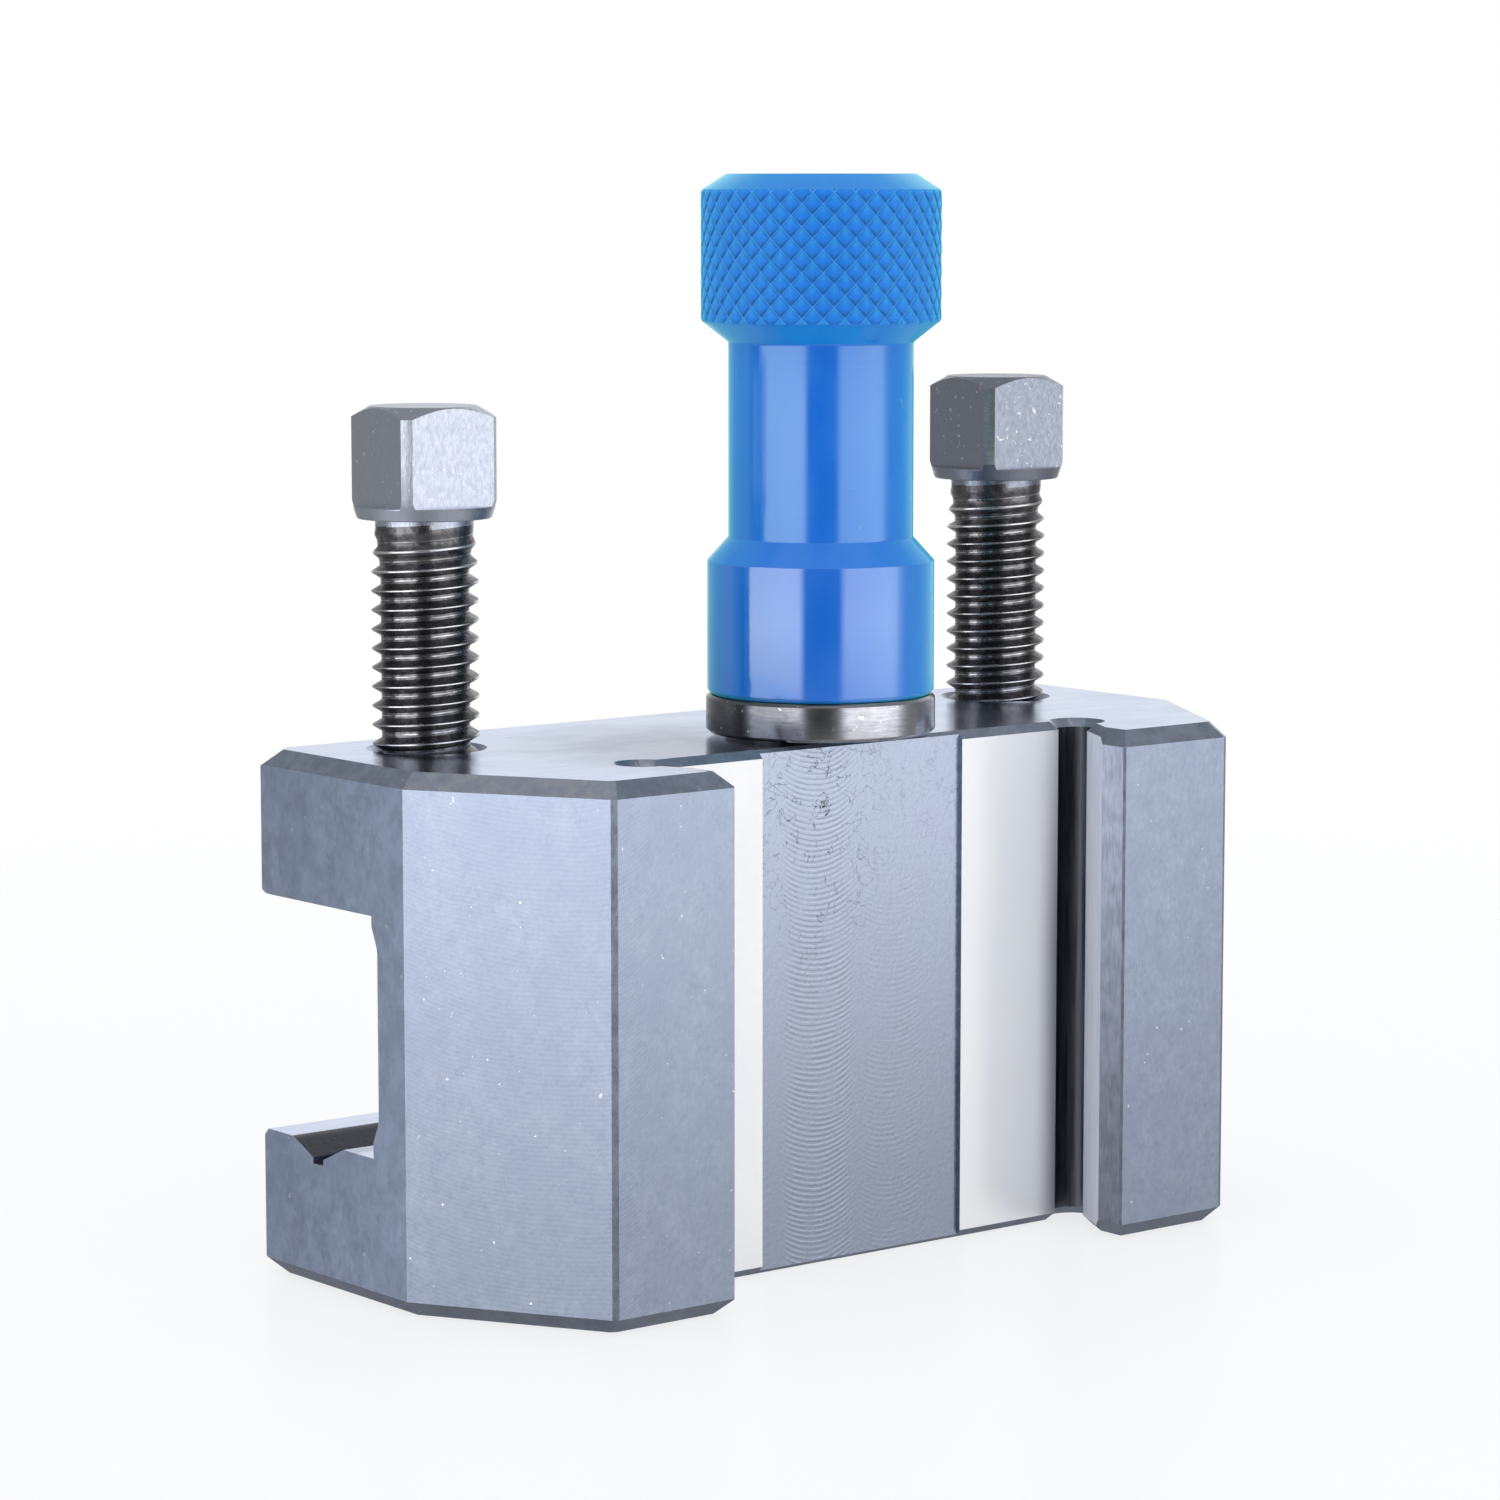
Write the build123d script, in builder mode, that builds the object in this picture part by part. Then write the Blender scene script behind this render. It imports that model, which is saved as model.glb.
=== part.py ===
# Quick-change lathe tool holder: a steel block with a slot for a square-shank tool, two
# square-head clamping screws, and a knurled height-setting sleeve that climbs a fixed stud.
# Millimetres. X runs along the holder. -Y is the side that hangs on the tool post, +Y the side
# that the tool slot opens to. Z is up. The origin is the middle of the underside.
import os
from math import cos, radians, sin, tan

from build123d import *

# Holder block
body_length = 91.5
body_width = 39.8
body_height = 47.4
end_face_width = 23.1         # flat part of each end; the rest is cut back to the jaws
jaw_front_width = 13.0        # flat front of each jaw
edge_chamfer = 1.4            # round the top and the bottom
corner_break = 0.9            # down the upright corners of the slot side
jaw_corner_break = 0.35       # down the upright corners outside the jaws
tip_break = 0.2               # down the corners of the dovetail's mouth

# Dovetail that hangs on the tool post
mouth_width = 45.5
mouth_straight = 3.0          # runs straight in before the flanks open out
dovetail_depth = 10.0
flank_angle = 27.0            # from straight in
root_relief_radius = 1.9
root_relief_inset = 0.95      # its centre, from the corner that it clears
seat_chamfer = 0.75
seat_channel_width = 23.5     # shallow channel between the two ground strips
seat_channel_depth = 0.43

# Tool slot
slot_depth = 18.2
slot_height = 21.3
lower_arm = 13.2
wall_relief_depth = 0.85
wall_land_top = 0.95
wall_land_bottom = 1.4
wall_relief_run = 1.9         # height of the slope from a land into the relief
wall_relief_round = 2.2
lip_round = 2.0               # lower outer edge of the top arm
lip_chamfer = 1.5             # upper outer edge of the bottom arm

# Groove in the slot floor that seats a round bar
vee_width = 8.0
vee_angle = 132.0
vee_slot_width = 1.6
vee_slot_depth = 0.55
vee_edge_round = 3.0          # on its outer edge

# Clamping screws
screw_diameter = 9.525
screw_from_end = 11.95        # axis to the end of the block
screw_from_back = 9.5         # axis to the slot side of the block
screw_length = 32.0           # under the head
screw_left_raise = 20.5       # underside of the head over the top face
screw_right_raise = 21.4
screw_left_turn = -3.1        # how far each square stands turned, in degrees
screw_right_turn = -2.7
head_square = 9.85
head_corner_diameter = 12.93
head_height = 9.9
head_collar_inset = 0.5       # its rim to the circle of the corners
head_collar_height = 1.1
head_corner_taper = 1.6       # height of the taper under the corners
head_top_diameter = 9.5
crown_angle = 30.0
neck_length = 1.2
neck_undercut = 0.4
dog_length = 3.0
dog_step = 1.45
dog_chamfer = 0.5
screw_clearance = 0.05        # from the crests to the wall of the hole
hole_countersink = 0.6
countersink_angle = 90.0
drill_past_arm = 10.0         # how far the drill runs on into the slot

# Stud that carries the height setting
stud_diameter = 7.94
stud_from_seat = 6.2          # axis behind the ground seat
stud_engagement = 11.5
stud_end_chamfer = 0.8
stud_hole_spare = 0.9         # drilled past the end of the stud

# Stop collar that rests on top of the tool post
collar_diameter = 20.85
collar_thickness = 3.45
collar_lift = 0.4             # over the top face, with the sleeve screwed right down
collar_chamfer = 0.3
collar_clearance = 0.06       # round the sleeve's spigot
collar_end_play = 0.05
collar_recess_gap = 0.9       # round the retaining ring

# Retaining ring that keeps the collar on the sleeve
ring_thickness = 1.0
ring_stand_out = 1.8          # past the spigot that it grips
ring_groove_depth = 0.45
ring_clearance = 0.04
ring_opening = 2.6

# Sleeve
spigot_diameter = 12.0
spigot_lift = 0.3             # end of the spigot over the underside of the collar
spigot_past_ring = 0.95
sleeve_base_diameter = 20.6
sleeve_base_height = 12.05
sleeve_base_break = 0.35
lower_cone_height = 2.15
sleeve_neck_diameter = 16.75
sleeve_neck_height = 17.55
upper_cone_height = 1.95
grip_diameter = 21.7
grip_height = 11.6
crown_height = 1.5
crown_inset = 2.3
sleeve_thread_clearance = 0.05
sleeve_mouth_chamfer = 0.7

# Locking screw that jams on the end of the stud
lock_length = 12.0
lock_sunk = 4.1               # its head below the top of the sleeve
lock_gap = 0.1
lock_socket = 3.97            # across the flats
lock_socket_depth = 4.5
lock_point_chamfer = 0.8
lock_head_chamfer = 0.5

# Places worked out from the sizes above
mount_front = -body_width / 2
slot_back = body_width / 2
seat_y = mount_front + dovetail_depth
slot_wall_y = slot_back - slot_depth
slot_top = lower_arm + slot_height
jaw_outer_x = mouth_width / 2 + jaw_front_width
root_x = mouth_width / 2 + (dovetail_depth - mouth_straight) * tan(radians(flank_angle))
half_root = radians((90 - flank_angle) / 2)
relief_x = root_x - root_relief_inset * cos(half_root)
relief_y = seat_y - root_relief_inset * sin(half_root)
vee_depth = vee_width / 2 / tan(radians(vee_angle / 2))
vee_flank_end = lower_arm - (vee_width - vee_slot_width) / 2 / tan(radians(vee_angle / 2))
screw_x = body_length / 2 - screw_from_end
screw_y = slot_back - screw_from_back
stud_y = seat_y + stud_from_seat
stud_bottom = body_height - stud_engagement
collar_bottom = body_height + collar_lift
collar_top = collar_bottom + collar_thickness
spigot_bottom = collar_bottom + spigot_lift
ring_bottom = spigot_bottom + spigot_past_ring
ring_top = ring_bottom + ring_thickness
collar_recess_top = ring_top + collar_end_play
sleeve_bottom = collar_top + collar_end_play
sleeve_neck_start = sleeve_bottom + sleeve_base_height + lower_cone_height
grip_bottom = sleeve_neck_start + sleeve_neck_height + upper_cone_height
grip_top = grip_bottom + grip_height
sleeve_top = grip_top + crown_height
stud_top = sleeve_top - lock_sunk - lock_length - lock_gap
stud_axis = Axis((0, stud_y, 0), (0, 0, 1))
collar_bore = spigot_diameter / 2 + collar_clearance
ring_radius = spigot_diameter / 2 + ring_stand_out
collar_recess = ring_radius + collar_recess_gap
sleeve_bore = stud_diameter / 2 + sleeve_thread_clearance
groove_radius = spigot_diameter / 2 - ring_groove_depth
screw_hole = screw_diameter / 2 + screw_clearance
stud_hole = stud_diameter / 2 + screw_clearance
past_face = 6.0               # how far a cutter starts outside the block
picking = 0.1                 # how near an edge lies to the height that it is picked by
halfway = 0.5                 # along an edge
outward_slope = -45.0         # of a cutter that widens towards its end

os.makedirs("parts", exist_ok=True)


# Holder block: steel, milled all over, with the seat and flanks ground
with BuildPart() as holder_body:
    with BuildSketch(Plane.XY):
        with BuildLine():
            Polyline(
                (-jaw_outer_x, mount_front),
                (jaw_outer_x, mount_front),
                (body_length / 2, slot_back - end_face_width),
                (body_length / 2, slot_back),
                (-body_length / 2, slot_back),
                (-body_length / 2, slot_back - end_face_width),
                close=True,
            )
        make_face()
    extrude(amount=body_height)
    by_height = holder_body.faces().sort_by(Axis.Z)
    chamfer(by_height[0].edges() + by_height[-1].edges(), edge_chamfer)
    rising = 0.3              # how steep an edge is that counts as upright
    upright = holder_body.edges().filter_by(lambda e: abs(e.tangent_at(halfway).Z) > rising)
    facet_y = slot_back - end_face_width
    outside_jaws = upright.filter_by(lambda e: e.center().Y < facet_y - edge_chamfer)
    chamfer(upright.filter_by(lambda e: e.center().Y > facet_y + edge_chamfer), corner_break)
    chamfer(outside_jaws, jaw_corner_break)

    # Dovetail mouth, with a round relief in each inner corner
    with BuildSketch(Plane.XY) as mouth:
        with BuildLine():
            Polyline(
                (mouth_width / 2, mount_front - past_face),
                (mouth_width / 2, mount_front + mouth_straight),
                (root_x, seat_y),
                (-root_x, seat_y),
                (-mouth_width / 2, mount_front + mouth_straight),
                (-mouth_width / 2, mount_front - past_face),
                close=True,
            )
        make_face()
        with Locations((relief_x, relief_y), (-relief_x, relief_y)):
            Circle(root_relief_radius)
    extrude(amount=body_height, mode=Mode.SUBTRACT)
    front_edges = holder_body.edges().filter_by(Axis.Z).group_by(Axis.Y)[0]
    chamfer(front_edges.sort_by(lambda e: abs(e.center().X))[:2], tip_break)

    # Rims of the mouth: a small chamfer all round, a larger one on the straight part
    for rim_z, toward in ((body_height, 1), (0, -1)):
        with BuildSketch(Plane.XY.offset(rim_z - toward * seat_chamfer)):
            add(mouth.sketch)
        extrude(amount=toward * seat_chamfer, taper=outward_slope, mode=Mode.SUBTRACT)
        with BuildSketch(Plane.XY.offset(rim_z - toward * edge_chamfer)):
            with Locations((0, mount_front + (mouth_straight - past_face) / 2)):
                Rectangle(mouth_width, mouth_straight + past_face)
        extrude(amount=toward * edge_chamfer, taper=outward_slope, mode=Mode.SUBTRACT)

    # Channel milled down the seat, which leaves a ground strip on each side of it
    with BuildSketch(Plane.XY):
        with Locations((0, seat_y)):
            Rectangle(seat_channel_width, 2 * seat_channel_depth)
    extrude(amount=body_height, mode=Mode.SUBTRACT)

    # Tool slot, right through from end to end, with a relieved back wall
    with BuildSketch(Plane.YZ) as slot:
        with BuildLine():
            Polyline(
                (slot_back + past_face, lower_arm),
                (slot_wall_y, lower_arm),
                (slot_wall_y, lower_arm + wall_land_bottom),
                (slot_wall_y - wall_relief_depth, lower_arm + wall_land_bottom + wall_relief_run),
                (slot_wall_y - wall_relief_depth, slot_top - wall_land_top - wall_relief_run),
                (slot_wall_y, slot_top - wall_land_top),
                (slot_wall_y, slot_top),
                (slot_back + past_face, slot_top),
                close=True,
            )
        make_face()
        fillet(slot.vertices().group_by(Axis.X)[0], wall_relief_round)
    extrude(amount=body_length / 2, both=True, mode=Mode.SUBTRACT)

    # Outer lips of the slot
    outer_side = holder_body.edges().filter_by(Axis.X).group_by(Axis.Y)[-1]
    chamfer(outer_side.filter_by_position(Axis.Z, lower_arm - picking, lower_arm + picking), lip_chamfer)
    outer_side = holder_body.edges().filter_by(Axis.X).group_by(Axis.Y)[-1]
    fillet(outer_side.filter_by_position(Axis.Z, slot_top - picking, slot_top + picking), lip_round)

    # V groove in the slot floor, under the clamping screws
    with BuildSketch(Plane.YZ):
        with BuildLine():
            Polyline(
                (screw_y - vee_width / 2, lower_arm),
                (screw_y, lower_arm - vee_depth),
                (screw_y + vee_width / 2, lower_arm),
                close=True,
            )
        make_face()
        with Locations((screw_y, vee_flank_end - vee_slot_depth)):
            Rectangle(vee_slot_width, vee_slot_depth + vee_depth, align=(Align.CENTER, Align.MIN))
    extrude(amount=body_length / 2, both=True, mode=Mode.SUBTRACT)
    at_floor = holder_body.edges().filter_by(Axis.X).filter_by_position(
        Axis.Z, lower_arm - picking, lower_arm + picking
    )
    vee_outer = screw_y + vee_width / 2
    fillet(at_floor.filter_by_position(Axis.Y, vee_outer - picking, vee_outer + picking), vee_edge_round)

    # Tapped holes: two through the top arm, one blind in the web for the stud
    with Locations((-screw_x, screw_y, body_height), (screw_x, screw_y, body_height)):
        CounterSinkHole(
            screw_hole,
            screw_hole + hole_countersink,
            depth=body_height - slot_top + drill_past_arm,
            counter_sink_angle=countersink_angle,
        )
    with Locations((0, stud_y, body_height)):
        CounterSinkHole(
            stud_hole,
            stud_hole + hole_countersink,
            depth=stud_engagement + stud_hole_spare,
            counter_sink_angle=countersink_angle,
        )

holder_body.part.label = "holder_body"
export_step(holder_body.part, "parts/holder_body.step")


def square_head_screw(head_underside, turn, x):
    """One clamping screw, its axis upright at x, screw_y, its square turned by some degrees."""
    corner = head_corner_diameter / 2
    collar = corner - head_collar_inset
    crown_drop = (corner - head_top_diameter / 2) * tan(radians(crown_angle))
    crest = screw_diameter / 2
    neck = crest - neck_undercut
    dog = crest - dog_step
    with BuildPart() as screw:
        # Square on a low round collar, turned to a circle at its corners and a cone above and below
        with BuildSketch(Plane.XY):
            Rectangle(head_square, head_square, rotation=turn)
        extrude(amount=head_height)
        Cylinder(corner, head_collar_height, align=(Align.CENTER, Align.CENTER, Align.MIN))
        with BuildSketch(Plane.XZ):
            with BuildLine():
                Polyline(
                    (0, 0),
                    (collar, 0),
                    (corner, head_corner_taper),
                    (corner, head_height - crown_drop),
                    (head_top_diameter / 2, head_height),
                    (0, head_height),
                    close=True,
                )
            make_face()
        revolve(axis=Axis.Z, mode=Mode.INTERSECT)
        # Neck, threaded length and dog point
        with BuildSketch(Plane.XZ):
            with BuildLine():
                Polyline(
                    (0, head_collar_height),
                    (neck, head_collar_height),
                    (neck, -neck_length),
                    (crest, -neck_length - neck_undercut),
                    (crest, -screw_length + dog_length + dog_step),
                    (dog, -screw_length + dog_length),
                    (dog, -screw_length + dog_chamfer),
                    (dog - dog_chamfer, -screw_length),
                    (0, -screw_length),
                    close=True,
                )
            make_face()
        revolve(axis=Axis.Z)
    return screw.part.locate(Location((x, screw_y, head_underside)))


# Clamping screws, each with its square as the wrench left it
clamp_screw_left = square_head_screw(body_height + screw_left_raise, screw_left_turn, -screw_x)
clamp_screw_left.label = "clamp_screw_left"
export_step(clamp_screw_left, "parts/clamp_screw_left.step")
clamp_screw_right = square_head_screw(body_height + screw_right_raise, screw_right_turn, screw_x)
clamp_screw_right.label = "clamp_screw_right"
export_step(clamp_screw_right, "parts/clamp_screw_right.step")


# Stud, screwed into the web between the dovetail seat and the tool slot
with BuildPart(Plane((0, stud_y, stud_bottom))) as height_stud:
    Cylinder(stud_diameter / 2, stud_top - stud_bottom, align=(Align.CENTER, Align.CENTER, Align.MIN))
    chamfer(height_stud.edges().filter_by(GeomType.CIRCLE), stud_end_chamfer)

height_stud.part.label = "height_stud"
export_step(height_stud.part, "parts/height_stud.step")


# Stop collar: a turned steel ring, recessed below for the retaining ring
with BuildPart() as stop_collar:
    with BuildSketch(Plane.XZ.offset(-stud_y)):
        with BuildLine():
            Polyline(
                (collar_bore, collar_top),
                (collar_bore, collar_recess_top),
                (collar_recess, collar_recess_top),
                (collar_recess, collar_bottom),
                (collar_diameter / 2 - collar_chamfer, collar_bottom),
                (collar_diameter / 2, collar_bottom + collar_chamfer),
                (collar_diameter / 2, collar_top - collar_chamfer),
                (collar_diameter / 2 - collar_chamfer, collar_top),
                close=True,
            )
        make_face()
    revolve(axis=stud_axis)

stop_collar.part.label = "stop_collar"
export_step(stop_collar.part, "parts/stop_collar.step")


# Retaining ring, sprung into the groove of the sleeve's spigot
with BuildPart() as retaining_ring:
    with BuildSketch(Plane((0, stud_y, ring_bottom))):
        Circle(ring_radius)
        Circle(groove_radius + ring_clearance, mode=Mode.SUBTRACT)
        Rectangle(ring_radius, ring_opening, align=(Align.MIN, Align.CENTER), mode=Mode.SUBTRACT)
    extrude(amount=ring_thickness)

retaining_ring.part.label = "retaining_ring"
export_step(retaining_ring.part, "parts/retaining_ring.step")


# Sleeve: turned in one piece from aluminium, tapped right through
with BuildPart() as height_sleeve:
    with BuildSketch(Plane.XZ.offset(-stud_y)):
        with BuildLine():
            Polyline(
                (sleeve_bore, spigot_bottom + sleeve_mouth_chamfer),
                (sleeve_bore + sleeve_mouth_chamfer, spigot_bottom),
                (spigot_diameter / 2, spigot_bottom),
                (spigot_diameter / 2, ring_bottom - ring_clearance),
                (groove_radius, ring_bottom - ring_clearance),
                (groove_radius, ring_top + ring_clearance),
                (spigot_diameter / 2, ring_top + ring_clearance),
                (spigot_diameter / 2, sleeve_bottom),
                (sleeve_base_diameter / 2 - sleeve_base_break, sleeve_bottom),
                (sleeve_base_diameter / 2, sleeve_bottom + sleeve_base_break),
                (sleeve_base_diameter / 2, sleeve_bottom + sleeve_base_height),
                (sleeve_neck_diameter / 2, sleeve_neck_start),
                (sleeve_neck_diameter / 2, sleeve_neck_start + sleeve_neck_height),
                (grip_diameter / 2, grip_bottom),
                (grip_diameter / 2, grip_top),
                (grip_diameter / 2 - crown_inset, sleeve_top),
                (sleeve_bore + sleeve_mouth_chamfer, sleeve_top),
                (sleeve_bore, sleeve_top - sleeve_mouth_chamfer),
                close=True,
            )
        make_face()
    revolve(axis=stud_axis)

height_sleeve.part.label = "height_sleeve"
export_step(height_sleeve.part, "parts/height_sleeve.step")


# Locking screw: headless, with a hexagon socket, run down onto the end of the stud
with BuildPart(Plane((0, stud_y, stud_top + lock_gap))) as lock_screw:
    Cylinder(stud_diameter / 2, lock_length, align=(Align.CENTER, Align.CENTER, Align.MIN))
    ends = lock_screw.edges().filter_by(GeomType.CIRCLE).sort_by(Axis.Z)
    chamfer(ends[0], lock_point_chamfer)
    chamfer(ends[-1], lock_head_chamfer)
    with BuildSketch(Plane((0, stud_y, sleeve_top - lock_sunk))):
        RegularPolygon(lock_socket / 2, 6, major_radius=False)
    extrude(amount=-lock_socket_depth, mode=Mode.SUBTRACT)

lock_screw.part.label = "lock_screw"
export_step(lock_screw.part, "parts/lock_screw.step")
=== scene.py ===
# %% [markdown]
# # Dressing a quick-change lathe tool holder
# The real object is a milled steel block that hangs on the dovetail of a lathe's tool post. Two
# square-head screws clamp a tool in its slot, and a blue knurled sleeve sets its height. The
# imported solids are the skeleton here: this file builds the surfaces that show, on top of them.

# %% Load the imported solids
from math import atan2, cos, floor, hypot, pi, radians, sin, sqrt, tan

import bmesh
import bpy
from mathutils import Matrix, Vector


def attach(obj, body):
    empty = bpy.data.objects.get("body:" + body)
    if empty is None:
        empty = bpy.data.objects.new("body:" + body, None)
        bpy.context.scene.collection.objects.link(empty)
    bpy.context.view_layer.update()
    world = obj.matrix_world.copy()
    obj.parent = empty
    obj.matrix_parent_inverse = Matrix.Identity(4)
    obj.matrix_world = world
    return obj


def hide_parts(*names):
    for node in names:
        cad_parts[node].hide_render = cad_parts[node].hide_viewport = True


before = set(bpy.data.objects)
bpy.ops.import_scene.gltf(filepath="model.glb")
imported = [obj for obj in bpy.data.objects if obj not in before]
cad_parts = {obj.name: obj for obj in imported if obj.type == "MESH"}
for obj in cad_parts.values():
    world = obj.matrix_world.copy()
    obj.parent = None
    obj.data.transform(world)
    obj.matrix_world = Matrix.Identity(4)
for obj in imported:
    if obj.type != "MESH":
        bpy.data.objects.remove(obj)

bpy.context.view_layer.update()
mm = 0.001

# %% [markdown]
# ## The camera
# The photograph was taken with a long lens, a little above the block, from the corner between
# the dovetail and one end. A long lens keeps the upright edges almost parallel, so the camera
# stands well back and its view is narrow. It could be aimed by hand, but a look-at point is
# easier to read: the rotation follows from the two places.

# %% Place the camera
camera_place = Vector((-0.26941, -0.32954, 0.09748))
camera_looks_at = Vector((-0.02120, -0.01990, 0.04912))
camera_lens = 112.16

view_data = bpy.data.cameras.new("studio_camera")
view_data.sensor_width = 36.0
view_data.lens = camera_lens
view_data.clip_start = 0.01
camera = bpy.data.objects.new("studio_camera", view_data)
camera.location = camera_place
camera.rotation_euler = (camera_looks_at - camera_place).to_track_quat("-Z", "Y").to_euler()
bpy.context.scene.collection.objects.link(camera)
bpy.context.scene.camera = camera
bpy.context.scene.view_settings.view_transform = "Standard"
print("camera stands", round((camera_looks_at - camera_place).length, 3), "m away")

# %% [markdown]
# ## Wiring nodes with few words
# Every finish below is a small graph of nodes. Writing each link by hand is long, so a few
# helpers keep the recipes short: they add a node and feed its sockets, do a sum, map a range
# softly, mix two colours and make noise. A socket is fed either with another node's output or
# with a plain number, and a fed output tells in which graph the new node belongs.

# %% Helpers for nodes
def add_node(tree, kind, feeds=None, **settings):
    """Adds a node, sets its properties, and links or sets the sockets named in feeds."""
    node = tree.nodes.new(kind)
    for name, value in settings.items():
        setattr(node, name, value)
    for socket, source in (feeds or {}).items():
        if isinstance(source, bpy.types.NodeSocket):
            tree.links.new(source, node.inputs[socket])
        else:
            node.inputs[socket].default_value = source
    return node


def graph_of(*sources):
    """The graph that the first socket among sources is in."""
    return next(source.id_data for source in sources if isinstance(source, bpy.types.NodeSocket))


def reckon(operation, *values):
    """The result of one Math node."""
    feeds = dict(enumerate(values))
    return add_node(graph_of(*values), "ShaderNodeMath", feeds, operation=operation).outputs[0]


def measured(operation, *places):
    """The number that one Vector Math node finds, such as a length or a distance."""
    feeds = dict(enumerate(places))
    return add_node(graph_of(*places), "ShaderNodeVectorMath", feeds, operation=operation).outputs["Value"]


def times(one, other):
    return reckon("MULTIPLY", one, other)


def plus(one, other):
    return reckon("ADD", one, other)


def parts_of(place):
    """The x, y and z of a place, as sockets."""
    return add_node(place.id_data, "ShaderNodeSeparateXYZ", {0: place}).outputs


def noise(place, scale, detail, **more):
    """Cloudy values round a half. scale is how many clouds lie in one unit of place."""
    feeds = {"Vector": place, "Scale": scale, "Detail": detail, **more}
    return add_node(place.id_data, "ShaderNodeTexNoise", feeds).outputs[0]


def fade(value, low, high, at_low=0.0, at_high=1.0):
    """Runs softly from at_low to at_high while value runs from low to high."""
    feeds = {0: value, 1: low, 2: high, 3: at_low, 4: at_high}
    return add_node(value.id_data, "ShaderNodeMapRange", feeds, interpolation_type="SMOOTHSTEP").outputs[0]


def scaled(source, share):
    """A place or a colour, times share."""
    feeds = {0: source, "Scale": share}
    return add_node(source.id_data, "ShaderNodeVectorMath", feeds, operation="SCALE").outputs[0]


def mix_tint(share, first, second):
    """first where share is 0 and second where it is 1. Both are colours or their sockets."""
    feeds = {0: share, 6: first, 7: second}
    return add_node(share.id_data, "ShaderNodeMix", feeds, data_type="RGBA").outputs[2]


def tint(red, green, blue):
    """A colour in linear light, with full alpha."""
    return (red, green, blue, 1.0)


# %% [markdown]
# ## The studio
# Bare steel has almost no colour of its own. It looks the way it does because of what it
# mirrors: here two tall soft boxes, left and right, a bright backdrop behind, and dim air over
# the camera and overhead. Lamps would give hot dots on the flats, so the soft boxes are painted
# into the sky as bands of compass direction. Only mirrored light sees the bands. The camera sees
# plain white, and matt colours are lit evenly by a sky of strength 1, so that they look as written.

# %% Bands of brightness by compass direction and by height
# Degrees from +X towards +Y, and how bright the studio is there at eye level.
round_the_studio = [
    (0, 0.30), (18, 0.52), (34, 0.90), (60, 0.90), (75, 0.43), (100, 0.24), (115, 0.27), (126, 0.30),
    (134, 0.20), (140, 0.11), (147, 0.07), (152, 1.53), (190, 1.71), (209, 1.69), (215, 0.10), (231, 0.06),
    (249, 0.10), (256, 1.27), (300, 1.51), (312, 1.36), (319, 0.62), (327, 0.26), (348, 0.22),
]
# Degrees over the horizon, and how much of those bands is left there.
up_and_down = [(-90, 0.08), (-22, 0.14), (-5, 1.2), (1, 1.0), (30, 1.0), (46, 0.14), (90, 0.0)]
overhead_glow = 0.29
sky_range = 2.0               # the ramps hold 0 to 1, so brightness is stored at half


def ramp_from(value, stops):
    """A colour ramp through (place, grey) stops, both from 0 to 1."""
    ramp = add_node(value.id_data, "ShaderNodeValToRGB", {0: value})
    elements = ramp.color_ramp.elements
    stops = sorted(stops)
    elements[0].position, elements[1].position = stops[0][0], stops[-1][0]
    elements[0].color, elements[1].color = tint(*[stops[0][1]] * 3), tint(*[stops[-1][1]] * 3)
    for place, grey in stops[1:-1]:
        elements.new(place).color = tint(grey, grey, grey)
    return ramp.outputs[0]


def once_round(stops):
    """Compass stops as places from 0, due west, to 1, due west again, with equal ends."""
    places = sorted(((degrees + 180) % 360 / 360, level / sky_range) for degrees, level in stops)
    (first, at_first), (last, at_last) = places[0], places[-1]
    due_west = at_last + (at_first - at_last) * (1 - last) / (1 - last + first)
    return [(0.0, due_west)] + places + [(1.0, due_west)]


def hang_the_sky():
    """White for the camera, even for matt surfaces, and soft boxes for mirrored light."""
    sky = bpy.data.worlds.new("studio_sky")
    bpy.context.scene.world = sky
    sky.use_nodes = True
    sky.cycles.sampling_method = "NONE"
    tree = sky.node_tree
    tree.nodes.clear()
    way = add_node(tree, "ShaderNodeTexCoord").outputs["Generated"]
    x, y, z = parts_of(way)
    compass = reckon("MULTIPLY_ADD", reckon("ARCTAN2", y, x), 1 / (2 * pi), 0.5)
    sides = ramp_from(compass, once_round(round_the_studio))
    tilt = reckon("MULTIPLY_ADD", reckon("ARCSINE", z), 1 / pi, 0.5)
    share = ramp_from(tilt, [((degrees + 90) / 180, level) for degrees, level in up_and_down])
    bands = times(times(sides, sky_range), share)
    rest = times(reckon("SUBTRACT", 1.0, share), overhead_glow)
    mirrored = plus(bands, rest)
    path = add_node(tree, "ShaderNodeLightPath").outputs
    level = mix_tint(path["Is Glossy Ray"], tint(1, 1, 1), mirrored)
    glow = add_node(tree, "ShaderNodeBackground", {"Color": level, "Strength": 1.0})
    add_node(tree, "ShaderNodeOutputWorld", {"Surface": glow.outputs[0]})
    return sky


print("sky:", hang_the_sky().name, "with", len(round_the_studio), "bands")

# %% [markdown]
# ## The floor
# The block stands on a pale, faintly blue sheet that runs out into the white behind it. A hard
# edge or a horizon would show, so the sheet is a disc that grows see-through away from the block.
# Most of its light towards the camera is its own, which keeps it near white, and the rest is
# real, so the block still casts its soft shadow. Mirrored light passes through it to the sky.

# %% Lay the floor
floor_radius, floor_sides, floor_drop = 0.62, 96, 0.00005       # metres, but for the sides
clear_from, clear_by = 0.10, 0.36     # metres from the middle: the sheet starts to clear, and is clear
own_light = 0.76                      # the share of its light towards the camera that is its own


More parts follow.
